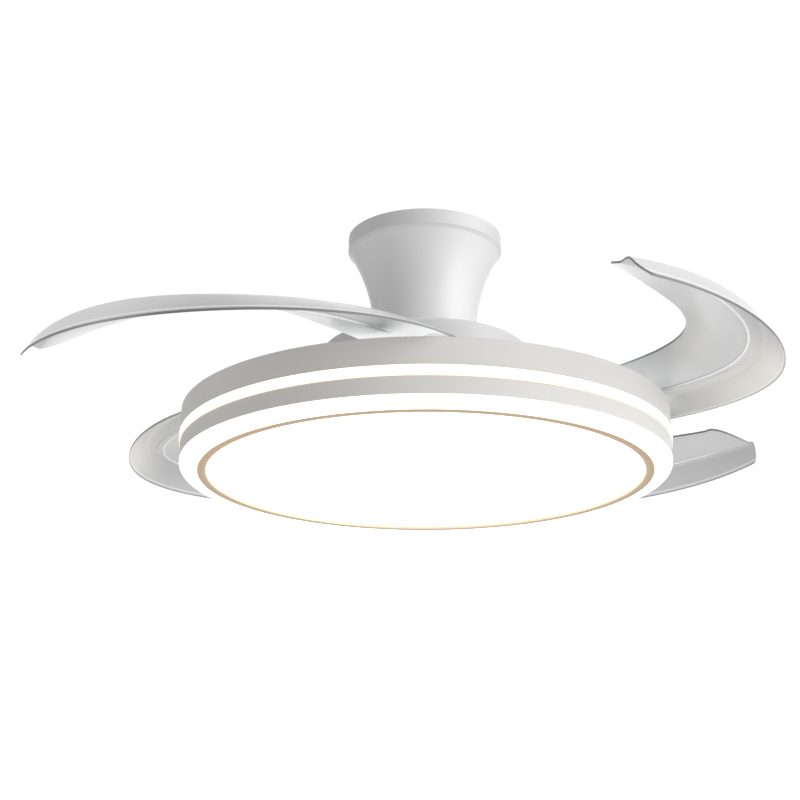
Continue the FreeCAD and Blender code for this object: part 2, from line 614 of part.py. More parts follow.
def tooth_points(rp, n, centre, side_gap):
    """One outward involute tooth centred on angle "centre" (degrees), as plan points."""
    press = math.radians(20.0)
    rb = rp * math.cos(press)
    ro, rr = rp + 0.9 * mod, rp - 1.2 * mod
    half = math.pi / (2 * n) - side_gap / (2 * rp)

    def inv(a):
        return math.tan(a) - a

    def half_at(rad):
        if rad <= rb:
            return half + inv(press)
        return half + inv(press) - inv(math.acos(rb / rad))

    left = []
    radii = [rr, max(rb, rr + 0.01), rp - 0.4 * mod, rp, rp + 0.5 * mod, ro]
    radii = sorted(set(radii))
    for rad in radii:
        left.append((rad, -half_at(rad)))
    pts = [(rad, a) for rad, a in left] + [(rad, -a) for rad, a in reversed(left)]
    c0 = math.radians(centre)
    return [(rad * math.cos(c0 + a), rad * math.sin(c0 + a)) for rad, a in pts], rr


def prism(points, z0, height):
    vs = [FreeCAD.Vector(x, y, z0) for x, y in points]
    return Part.Face(Part.makePolygon(vs + [vs[0]])).extrude(FreeCAD.Vector(0, 0, height))


def ring_gear():
    th = VALUES["gear_thick"]
    z0 = gz.value + lift
    rr = R_ring - 1.2 * mod
    ring = Part.makeCylinder(rr + 0.05, th, FreeCAD.Vector(0, 0, z0)).cut(
        Part.makeCylinder(138.0, th + 2, FreeCAD.Vector(0, 0, z0 - 1)))
    step = 360.0 / VALUES["ring_teeth"]
    add = []
    turn = VALUES["fold_angle"] * R_sec / R_ring
    first, last = -int(math.ceil(turn / step)) - 2, 2
    for k in range(4):
        for j in range(first, last + 1):
            pts, _ = tooth_points(R_ring, VALUES["ring_teeth"], 90.0 * k + j * step, back)
            add.append(prism(pts, z0, th))
    # two inward tabs with spring pins
    for k in range(2):
        a = math.radians(180.0 * k + 32.0)
        tab = Part.makeBox(14.0, 8.0, 2.0, FreeCAD.Vector(125.0, -4.0, z0)) \
            .fuse(Part.makeCylinder(1.6, 4.2, FreeCAD.Vector(129.0, 0, z0)))
        tab.rotate(FreeCAD.Vector(0, 0, 0), FreeCAD.Vector(0, 0, 1), math.degrees(a))
        add.append(tab)
    return ring.fuse(add).removeSplitter()


f = doc.addObject("Part::Feature", "ring_gear")
f.Shape = ring_gear()
keep(f, "sync_ring")

hub_z = tz + SEAT + 0.7               # underside of the hub, above its washer
boss_z = up(-1.0)                     # where the hub meets the blade's boss


def hub_shape():
    """Hub of the blade at the first pivot, drawn upright, with its gear sector."""
    px = VALUES["pivot_radius"]
    ctr = FreeCAD.Vector(px, 0, 0)
    z0, z1 = hub_z.value, boss_z.value
    body = Part.makeCylinder(10.8, z1 - z0, FreeCAD.Vector(px, 0, z0))
    body = body.fuse(Part.makeCylinder(VALUES["blade_boss_radius"], 3.0, FreeCAD.Vector(px, 0, z1 - 3.0)))
    th = VALUES["gear_thick"]
    rr = R_sec - 1.2 * mod
    step = 360.0 / VALUES["sector_teeth"]
    n_last = int(math.ceil(VALUES["fold_angle"] / step)) + 1
    a_low, a_high = -1.5 * step, (n_last + 1.0) * step
    web = Part.makeCylinder(rr + 0.05, th, FreeCAD.Vector(0, 0, gz.value), FreeCAD.Vector(0, 0, 1), a_high - a_low)
    web.rotate(FreeCAD.Vector(0, 0, 0), FreeCAD.Vector(0, 0, 1), 180.0 + a_low)
    teeth = []
    for j in range(-1, n_last + 1):
        pts, _ = tooth_points(R_sec, VALUES["sector_teeth"], 180.0 + (j + 0.5) * step, back)
        teeth.append(prism(pts, gz.value, th))
    web = web.fuse(teeth)
    web.translate(ctr)
    body = body.fuse(web)
    bore = Part.makeCylinder(VALUES["pivot_pin_radius"] + VALUES["pivot_gap"], 40.0, FreeCAD.Vector(px, 0, z0 - 5))
    body = body.cut(bore)
    for k in range(3):
        a = math.radians(30.0 + 120.0 * k)
        hx, hy = px + 9.6 * math.cos(a) * 1.38, 9.6 * math.sin(a) * 1.38
        body = body.cut(Part.makeCylinder(1.3, 6.0, FreeCAD.Vector(hx, hy, z1 - 5.0)))
    return body.removeSplitter()


def hub_screw_shapes():
    px = VALUES["pivot_radius"]
    out = []
    for k in range(3):
        a = math.radians(30.0 + 120.0 * k)
        hx, hy = px + 9.6 * math.cos(a) * 1.38, 9.6 * math.sin(a) * 1.38
        z1 = boss_z.value
        out.append(Part.makeCylinder(1.25, 9.5, FreeCAD.Vector(hx, hy, z1 - 3.5))
                   .fuse(Part.makeCylinder(2.3, 1.5, FreeCAD.Vector(hx, hy, z1 - 4.5))))
    return out


# ---------------------------------------------------------------- blade

def spline(xs, ys, x):
    """Natural cubic spline through (xs, ys)."""
    n = len(xs)
    m = [0.0] * n
    a, b, c, d = [0.0] * n, [1.0] * n, [0.0] * n, [0.0] * n
    for i in range(1, n - 1):
        h0, h1 = xs[i] - xs[i - 1], xs[i + 1] - xs[i]
        a[i], b[i], c[i] = h0, 2 * (h0 + h1), h1
        d[i] = 6 * ((ys[i + 1] - ys[i]) / h1 - (ys[i] - ys[i - 1]) / h0)
    for i in range(1, n):
        q = a[i] / b[i - 1]
        b[i] -= q * c[i - 1]
        d[i] -= q * d[i - 1]
    m[n - 1] = d[n - 1] / b[n - 1]
    for i in range(n - 2, -1, -1):
        m[i] = (d[i] - c[i] * m[i + 1]) / b[i]
    k = 0
    while k < n - 2 and x > xs[k + 1]:
        k += 1
    hh = xs[k + 1] - xs[k]
    u, v = xs[k + 1] - x, x - xs[k]
    return (m[k] * u ** 3 + m[k + 1] * v ** 3) / (6 * hh) + (ys[k] / hh - m[k] * hh / 6) * u + (ys[k + 1] / hh - m[k + 1] * hh / 6) * v


# height of the underside above the rim along the blade, root 0 to tip 1
STATIONS = [-0.08, 0.25, 0.5, 0.75, 1.22]
EDGE_AT = [-0.08, 0.09, 0.25, 0.5, 0.75, 1.0, 1.22]
EDGE_Z = [3.5, 3.2, -0.6, -7.0, -3.4, 4.3, 10.5]
CREST_Z = [15.6, 15.4, 14.1, 21.6, 18.5]
INNER_Z = [27.0, 29.5, 34.5, 37.0, 33.0]
WIDTH_AT = [-0.08, 0.25, 0.5, 0.75, 0.9, 1.0, 1.22]
WIDTH = [110.0, 107.0, 89.0, 85.5, 76.0, 60.5, 20.0]
SWING = [-2.7, -2.7, 0.6, -2.4, 6.0]   # how far the outer edge strays from its arc
CREST_AT = 0.22            # share of the width, inside the outer edge
CREASE_ALONG = [-0.08, 0.12, 0.3, 0.45, 0.6, 0.8, 1.22]
CREASE_AT = [0.50, 0.50, 0.46, 0.40, 0.35, 0.36, 0.42]   # the same for the crease
DIP = 0.8                  # the crease lies this much below the crest


def lean(k):
    """Placement that leans a piece drawn upright at the first pivot, then turns it to pivot k."""
    foot = FreeCAD.Vector(VALUES["pivot_radius"], 0, tz.value)
    outward = FreeCAD.Rotation(FreeCAD.Vector(0, 1, 0), TILT)
    tipped = FreeCAD.Placement(foot.sub(outward.multVec(foot)), outward)
    round_ = FreeCAD.Placement(FreeCAD.Vector(0, 0, 0), FreeCAD.Rotation(FreeCAD.Vector(0, 0, 1), 90.0 * k))
    return round_.multiply(tipped)


def leant(shape):
    """A copy of an upright tool, leant with the first pivot."""
    s = shape.copy()
    s.Placement = lean(0).multiply(s.Placement)
    return s


def blade_shape():
    arc_r = VALUES["blade_arc_radius"]
    off = VALUES["blade_arc_offset"]
    bearing = math.radians(VALUES["blade_arc_bearing"])
    cx, cy = off * math.cos(bearing), off * math.sin(bearing)
    a0, span, th = VALUES["blade_root_angle"], VALUES["blade_span"], VALUES["blade_thick"]
    rim = RIM.value

    def at(s, d, z):
        a = math.radians(a0 - span * s)
        r = arc_r + spline(STATIONS, SWING, s) - d
        return FreeCAD.Vector(cx + r * math.cos(a), cy + r * math.sin(a), rim + z)

    wires = []
    stations = [-0.1 + 1.3 * i / 13.0 for i in range(14)]
    for s in stations:
        ze, zc, zi = spline(EDGE_AT, EDGE_Z, s), spline(STATIONS, CREST_Z, s), spline(STATIONS, INNER_Z, s)
        wd = spline(WIDTH_AT, WIDTH, s)
        c, k = CREST_AT * wd, spline(CREASE_ALONG, CREASE_AT, s) * wd

        def under(d):
            if d <= c:
                # outer flange: steep at the edge, rolling over at the crest
                u = d / c
                return ze + (zc - ze) * (1.28 * u - 0.28 * u * abs(u))
            if d <= k:
                u = (d - c) / (k - c)
                return zc - DIP * u * u * (3 - 2 * u)
            u = (d - k) / (wd - k)
            return zc - DIP + (zi - zc + DIP) * (0.72 * u + 0.28 * u * u)
        rolls = (-3.0, c * 0.25, c * 0.6, c, (c + k) / 2, k)
        low_a = [at(s, d, under(d)) for d in rolls]
        low_b = [at(s, k + (wd + 8 - k) * u, under(k + (wd + 8 - k) * u)) for u in (0.0, 0.3, 0.65, 1.0)]
        top_a = [at(s, d - 0.4, under(d) + th) for d in rolls]
        top_b = [at(s, k - 0.4 + (wd + 8 - k) * u, under(k + (wd + 8 - k) * u) + th) for u in (0.0, 0.3, 0.65, 1.0)]

        def curve(p):
            b = Part.BSplineCurve()
            b.interpolate(p)
            return b.toShape()
        edges = [curve(low_a), curve(low_b), Part.makeLine(low_b[-1], top_b[-1]),
                 curve(list(reversed(top_b))), curve(list(reversed(top_a))), Part.makeLine(top_a[0], low_a[0])]
        wires.append(Part.Wire(edges))
    skin = Part.makeLoft(wires, True, False)

    # plan outline: outer arc, rounded tip, inner edge, rounded root
    def plan(s, d):
        v = at(s, d, -60.0)
        return v

    def seg(points):
        b = Part.BSplineCurve()
        b.interpolate(points)
        return b.toShape()
    n = 24
    outer = [plan(0.0 + i / n, 0.0) for i in range(n + 1)]
    w1 = spline(WIDTH_AT, WIDTH, 1.0)
    tip_len, tip_at = 21.5, 0.44 * w1     # the tip reaches furthest a little outside its middle
    tip = []
    for i in range(17):
        t_ = math.pi * i / 16
        d = tip_at * (1 - math.cos(t_)) if i <= 8 else tip_at - (w1 - tip_at) * math.cos(t_)
        ds = tip_len * math.sin(t_) / (arc_r - tip_at) / math.radians(span)
        tip.append(plan(1.0 + ds, d))
    inner = [plan(1.0 - i / n, spline(WIDTH_AT, WIDTH, 1.0 - i / n)) for i in range(n + 1)]
    w0 = spline(WIDTH_AT, WIDTH, 0.0)
    root = []
    for i in range(13):
        t_ = math.pi * i / 12
        # a wide shallow cap with the pivot boss inside it
        d = w0 / 2 + w0 / 2 * math.cos(t_)
        ext = 19.0 * math.sin(t_) ** 0.6 if 0 < i < 12 else 0.0
        ds = ext / (arc_r - d) / math.radians(span)
        root.append(plan(0.0 - ds, d))
    wire = Part.Wire([seg(outer), seg(tip), seg(inner), seg(root)])
    face = Part.Face(wire)
    block = face.extrude(FreeCAD.Vector(0, 0, 140.0))
    shell = skin.common(block)

    # pivot boss under the skin, bored for the pin, counterbored for its head
    px = VALUES["pivot_radius"]
    br_ = VALUES["blade_boss_radius"]
    boss_ = leant(Part.makeCylinder(br_, 40.0, FreeCAD.Vector(px, 0, boss_z.value)))
    above = skin_cap(wires, rim)
    boss_ = boss_.common(above)
    body = shell.fuse(boss_)
    pin_r = VALUES["pivot_pin_radius"] + VALUES["pivot_gap"]
    body = body.cut(leant(Part.makeCylinder(pin_r + 0.1, 60.0, FreeCAD.Vector(px, 0, boss_z.value - 5))))
    body = body.cut(leant(Part.makeCylinder(9.0, 30.0, FreeCAD.Vector(px, 0, tz.value + 27.8))))
    for k in range(3):
        a = math.radians(30.0 + 120.0 * k)
        hx, hy = px + 9.6 * math.cos(a) * 1.38, 9.6 * math.sin(a) * 1.38
        body = body.cut(leant(Part.makeCylinder(1.3, 7.0, FreeCAD.Vector(hx, hy, boss_z.value - 0.5))))
    return body


def skin_cap(wires, rim):
    """The space from well below the blade up to its top surface, over the root."""
    caps = []
    for wr in wires[:6]:
        vs = []
        # top edge of the section, inner end to outer end
        e_b, e_a = wr.Edges[3], wr.Edges[4]
        p_in, p_out = wr.Edges[2].Vertexes, wr.Edges[5].Vertexes
        top_pts = [e_b.valueAt(e_b.FirstParameter), e_b.valueAt(e_b.LastParameter),
                   e_a.valueAt(e_a.FirstParameter), e_a.valueAt(e_a.LastParameter)]
        hi = max(top_pts, key=lambda v: v.z)
        lo = min(top_pts, key=lambda v: v.z)
        i_pt, o_pt = hi, lo
        i_low = FreeCAD.Vector(i_pt.x, i_pt.y, rim - 20.0)
        o_low = FreeCAD.Vector(o_pt.x, o_pt.y, rim - 20.0)
        caps.append(Part.Wire([e_b, e_a, Part.makeLine(o_pt, o_low), Part.makeLine(o_low, i_low), Part.makeLine(i_low, i_pt)]))
    return Part.makeLoft(caps, True, False)


phase = VALUES["rotor_phase"]


def place(obj, k):
    obj.Placement = FreeCAD.Placement(FreeCAD.Vector(0, 0, 0), FreeCAD.Rotation(FreeCAD.Vector(0, 0, 1), 90.0 * k))


blade_solid = blade_shape()
hub_solid = hub_shape()
hub_screws = hub_screw_shapes()
for k in range(4):
    f = doc.addObject("Part::Feature", "blade_skin_%d" % (k + 1))
    f.Shape = blade_solid
    place(f, k)
    keep(f, "blade_%d" % (k + 1))
    f = doc.addObject("Part::Feature", "hub_%d" % (k + 1))
    f.Shape = hub_solid
    f.Placement = lean(k)
    keep(f, "blade_hub_%d" % (k + 1))
    f = doc.addObject("Part::Feature", "hub_screw_set_%d" % (k + 1))
    f.Shape = Part.makeCompound(hub_screws)
    f.Placement = lean(k)
    keep(f, "blade_screws_%d" % (k + 1))

# two extension springs, hooked over the ring's pins and the anchor posts
springs = []
for k in range(2):
    a0_, a1_ = math.radians(180.0 * k + 32.0), math.radians(180.0 * k + 80.0)
    p0 = FreeCAD.Vector(129.0 * math.cos(a0_), 129.0 * math.sin(a0_), gz.value + lift + 3.2)
    p1 = FreeCAD.Vector(122.0 * math.cos(a1_), 122.0 * math.sin(a1_), gz.value + lift + 3.2)
    run = p1.sub(p0)
    length = run.Length
    coil_len = length - 24.0
    turns = 22
    helix = Part.makeHelix(coil_len / turns, coil_len, 3.0)
    start = FreeCAD.Vector(3.0, 0, 0)
    circle = Part.Wire([Part.makeCircle(0.5, start, FreeCAD.Vector(0, 1, 0))])
    pipe = Part.Wire(helix).makePipeShell([circle], True, True)
    straight_a = Part.makeCylinder(0.5, 9.4, FreeCAD.Vector(0, 0, -9.4))
    arm_a = Part.makeCylinder(0.5, 3.2, FreeCAD.Vector(0, 0, 0), FreeCAD.Vector(1, 0, 0))
    straight_b = Part.makeCylinder(0.5, 8.6, FreeCAD.Vector(0, 0, coil_len))
    arm_b = Part.makeCylinder(0.5, 3.2, FreeCAD.Vector(0, 0, coil_len), FreeCAD.Vector(1, 0, 0))
    one = Part.makeCompound([pipe])
    one = pipe.fuse([arm_a, straight_a, arm_b, straight_b])
    rot = FreeCAD.Rotation(FreeCAD.Vector(0, 0, 1), run)
    d = FreeCAD.Vector(run).normalize()
    one.Placement = FreeCAD.Placement(p0.add(d.multiply(12.0)), rot)
    springs.append(one)
f = doc.addObject("Part::Feature", "spring_pair")
f.Shape = Part.makeCompound(springs)
keep(f, "return_springs")

# ---------------------------------------------------------------- lamp drum

dr, dw = S("drum_radius"), S("drum_wall")
u1 = up(-S("upper_band_height"))
u2 = u1 - S("slit_height")
u3 = u2 - S("lower_band_height")
pan_top = up(-S("pan_drop"))
pan_low = pan_top - S("pan_thick")
turned("drum_upper_band", [
    (dr - dw, up(0.0)), (dr - 0.6, up(0.0), -0.6), (dr, up(-0.6)), (dr, u1), (243.0, u1), (243.0, pan_low), (dr - dw, pan_low)])
turned("slit_light_guide", [
    (243.0, u2), (dr + S("slit_proud"), u2), (dr + S("slit_proud"), u1), (243.0, u1)])
turned("drum_lower_band", [
    (243.0, u2), (243.0, u2 - 2.0), (dr - dw, u2 - 2.0), (dr - dw, u3), (dr, u3), (dr, u2)])
for nm, z, dp in (("drum_upper_band", pan_low, S("upper_band_height") - S("pan_drop") - S("pan_thick")),
                  ("slit_light_guide", u1, S("slit_height")), ("drum_lower_band", u2, size(2.0))):
    body = [n for n in NODES if n.Label == nm][0]
    drilled(body, nm + "_screw_holes", z, dp, [("circle", 245.3, 0.0, 1.55)], 6)
pan = turned("lamp_pan", [
    (shaft_r + 0.05, pan_low), (dr - dw, pan_low), (dr - dw, pan_top), (shaft_r + 0.05, pan_top)])
drilled(pan, "pan_screw_holes", pan_top, S("pan_thick"), [("circle", 245.3, 0.0, 1.55)], 6)
screws("band_screws", 6, 245.3, 0.0, u2 - 2.0, 1.5, S("slit_height") + S("upper_band_height") - S("pan_drop") + 3.6, 2.2, 1.6, up_side=False)
nut = padded("shaft_nut", pan_low - 9.0, 9.0, [
    ("outline", [(17.0 * deg(60.0 * k)[0], 17.0 * deg(60.0 * k)[1]) for k in range(6)]), ("circle", 0.0, 0.0, shaft_r)])

st = turned("strip_holder", [
    (238.4, pan_low - 17.0), (240.0, pan_low - 17.0), (240.0, pan_low), (230.0, pan_low), (230.0, pan_low - 1.2), (238.4, pan_low - 1.2)])
turned("side_led_strip", [(240.0, pan_low - 14.6), (241.3, pan_low - 14.6), (241.3, pan_low - 5.8), (240.0, pan_low - 5.8)])
board_low = pan_low - S("board_thick")
turned("led_board", [(S("board_inner"), board_low), (S("board_outer"), board_low), (S("board_outer"), pan_low), (S("board_inner"), pan_low)])
chips = []
for rad, cnt in ((110.0, 18), (150.0, 24), (190.0, 30)):
    for k in range(cnt):
        one = Part.makeBox(6.0, 6.0, 1.4, FreeCAD.Vector(rad - 3.0, -3.0, board_low.value - 1.4))
        one.rotate(FreeCAD.Vector(0, 0, 0), FreeCAD.Vector(0, 0, 1), 360.0 * k / cnt)
        chips.append(one)
f = doc.addObject("Part::Feature", "chip_set")
f.Shape = Part.makeCompound(chips)
keep(f, "led_chips")
drv = fused("driver_parts", [
    box("driver_case", 22.0, -40.0, pan_low - 22.0, 42.0, 80.0, 22.0),
    box("driver_lug_a", 34.0, -48.0, pan_low - 2.0, 18.0, 8.5, 2.0),
    box("driver_lug_b", 34.0, 39.5, pan_low - 2.0, 18.0, 8.5, 2.0)])
keep(drv, "led_driver")
keep(less("connector_cut", box("connector_case", -60.0, -12.0, pan_low - 12.0, 20.0, 24.0, 12.0),
          box("connector_mouth", -57.0, -9.0, pan_low - 13.0, 14.0, 18.0, 7.0)), "lamp_connector")

bo, bi = S("bezel_outer"), S("bezel_inner")
sk_low = u3 - S("skirt_depth")
turned("skirt_diffuser", [
    (dr, u3), (dr, u3 - 2.6, -6.5), (245.4, sk_low + 0.9), (bo + 0.1, sk_low), (bo + 0.1, sk_low + 2.3),
    (244.0, sk_low + 3.0), (245.3, sk_low + 4.6), (245.3, u3 + 3.7), (dr - dw - 0.1, u3 + 3.7), (dr - dw - 0.1, u3)])
turned("bezel_ring", [
    (bi, sk_low - 0.3), (bo, sk_low - 0.3), (bo, sk_low + 7.0), (bo - 1.2, sk_low + 7.0), (bo - 1.2, sk_low + 1.9), (bi, sk_low + 1.9)])
turned("main_diffuser", [
    (0.0, sk_low + 1.9), (S("diffuser_radius"), sk_low + 1.9), (S("diffuser_radius"), sk_low + 1.9 + S("diffuser_thick")),
    (0.0, sk_low + 1.9 + S("diffuser_thick"))])
clips = []
for k in range(6):
    one = Part.makeCylinder(247.5, 4.0, FreeCAD.Vector(0, 0, u3.value + 4.0), FreeCAD.Vector(0, 0, 1), 3.0).cut(
        Part.makeCylinder(243.6, 6.0, FreeCAD.Vector(0, 0, u3.value + 3.0)))
    one.rotate(FreeCAD.Vector(0, 0, 0), FreeCAD.Vector(0, 0, 1), 60.0 * k + 28.5)
    clips.append(one)
f = doc.addObject("Part::Feature", "clip_set")
f.Shape = Part.makeCompound(clips)
keep(f, "skirt_clips")

doc.recompute()

# the whole turning group stands at the phase in which the fan is drawn
TURNING = ["rotor_lower_shell", "rotor_upper_shell", "rotor_joint_screws", "tray_screws", "rotor_magnets",
           "bearing_outer_rings", "bearing_balls", "motor_cover", "motor_cover_screws", "blade_tray", "pivot_pins",
           "thrust_washers", "carrier_posts", "mechanism_cover", "mechanism_cover_screws",
           "sync_ring", "return_springs"] + \
          ["blade_%d" % k for k in range(1, 5)] + ["blade_hub_%d" % k for k in range(1, 5)] + ["blade_screws_%d" % k for k in range(1, 5)]
turn = FreeCAD.Placement(FreeCAD.Vector(0, 0, 0), FreeCAD.Rotation(FreeCAD.Vector(0, 0, 1), phase))
for obj in NODES:
    if obj.Label in TURNING:
        obj.Placement = turn.multiply(obj.Placement)
doc.recompute()

problems = []
for obj in doc.Objects:
    if "Invalid" in obj.State or "Error" in obj.State:
        problems.append("%s: %s" % (obj.Label, obj.State))
for obj in NODES:
    if obj.Shape.isNull() or not obj.Shape.isValid() or not obj.Shape.Solids:
        problems.append("%s: bad shape" % obj.Label)
if problems:
    raise RuntimeError("; ".join(problems))

os.makedirs("parts", exist_ok=True)
for obj in NODES:
    obj.Shape.exportStep(os.path.join("parts", obj.Label + ".step"))
    bb = obj.Shape.BoundBox
    print("%-26s solids %3d  volume %11.1f  x %7.1f %7.1f  y %7.1f %7.1f  z %7.1f %7.1f" % (
        obj.Label, len(obj.Shape.Solids), obj.Shape.Volume, bb.XMin, bb.XMax, bb.YMin, bb.YMax, bb.ZMin, bb.ZMax))
print(len(NODES), "nodes")
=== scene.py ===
import json
import math

import bpy
from mathutils import Matrix, Vector
from mathutils.bvhtree import BVHTree


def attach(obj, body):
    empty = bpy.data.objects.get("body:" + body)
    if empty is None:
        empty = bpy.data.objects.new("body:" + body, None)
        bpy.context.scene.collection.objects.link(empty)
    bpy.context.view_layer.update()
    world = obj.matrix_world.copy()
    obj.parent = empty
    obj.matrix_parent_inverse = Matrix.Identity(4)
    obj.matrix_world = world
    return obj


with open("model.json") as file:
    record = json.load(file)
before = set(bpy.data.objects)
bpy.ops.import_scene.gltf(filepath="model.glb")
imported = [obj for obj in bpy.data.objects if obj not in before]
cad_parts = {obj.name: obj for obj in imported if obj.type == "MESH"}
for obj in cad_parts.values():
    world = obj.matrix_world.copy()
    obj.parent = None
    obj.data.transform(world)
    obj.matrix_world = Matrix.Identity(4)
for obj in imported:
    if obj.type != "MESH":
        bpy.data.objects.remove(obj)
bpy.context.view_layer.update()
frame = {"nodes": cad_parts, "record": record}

scene = bpy.context.scene
nodes = frame["nodes"]

RIM = -0.202                 # height of the drum's top rim
ROTOR_PHASE = 3.1

# the blade's plan, in metres: its outer edge strays a little from an arc round BLADE_CENTRE,
# and s runs along it from 0 at the root to 1 at the tip
BLADE_CENTRE = (0.1866 * math.cos(math.radians(-61.5)), 0.1866 * math.sin(math.radians(-61.5)))
BLADE_R = 0.234
BLADE_ROOT = 57.0
BLADE_SPAN = 127.4
SWING_AT = [-0.08, 0.25, 0.5, 0.75, 1.22]
SWING = [-0.0027, -0.0027, 0.0006, -0.0024, 0.0060]
WIDTH_AT = [-0.08, 0.25, 0.5, 0.75, 0.9, 1.0, 1.22]
WIDTH = [0.110, 0.107, 0.089, 0.0855, 0.076, 0.0605, 0.020]
CREASE_ALONG = [-0.08, 0.12, 0.3, 0.45, 0.6, 0.8, 1.22]
CREASE_AT = [0.50, 0.50, 0.46, 0.40, 0.35, 0.36, 0.42]     # share of the width


def spline(xs, ys, x):
    """Natural cubic spline through (xs, ys)."""
    n = len(xs)
    m = [0.0] * n
    a, b, c, d = [0.0] * n, [1.0] * n, [0.0] * n, [0.0] * n
    for i in range(1, n - 1):
        h0, h1 = xs[i] - xs[i - 1], xs[i + 1] - xs[i]
        a[i], b[i], c[i] = h0, 2 * (h0 + h1), h1
        d[i] = 6 * ((ys[i + 1] - ys[i]) / h1 - (ys[i] - ys[i - 1]) / h0)
    for i in range(1, n):
        q = a[i] / b[i - 1]
        b[i] -= q * c[i - 1]
        d[i] -= q * d[i - 1]
    m[n - 1] = d[n - 1] / b[n - 1]
    for i in range(n - 2, -1, -1):
        m[i] = (d[i] - c[i] * m[i + 1]) / b[i]
    k = 0
    while k < n - 2 and x > xs[k + 1]:
        k += 1
    hh = xs[k + 1] - xs[k]
    u, v = xs[k + 1] - x, x - xs[k]
    return (m[k] * u ** 3 + m[k + 1] * v ** 3) / (6 * hh) + (ys[k] / hh - m[k] * hh / 6) * u + (ys[k + 1] / hh - m[k + 1] * hh / 6) * v


def crease(s):
    """How far inside the outer edge the crease lies at s, in metres."""
    return spline(CREASE_ALONG, CREASE_AT, s) * spline(WIDTH_AT, WIDTH, s)


def blade_plan(k, s, d):
    """Where blade k is in plan, d metres inside its outer edge at s."""
    a = math.radians(BLADE_ROOT - BLADE_SPAN * s)
    r = BLADE_R + spline(SWING_AT, SWING, s) - d
    x, y = BLADE_CENTRE[0] + r * math.cos(a), BLADE_CENTRE[1] + r * math.sin(a)
    c, q = math.cos(math.radians(ROTOR_PHASE + 90.0 * (k - 1))), math.sin(math.radians(ROTOR_PHASE + 90.0 * (k - 1)))
    return x * c - y * q, x * q + y * c


# ---------------------------------------------------------------- node helpers

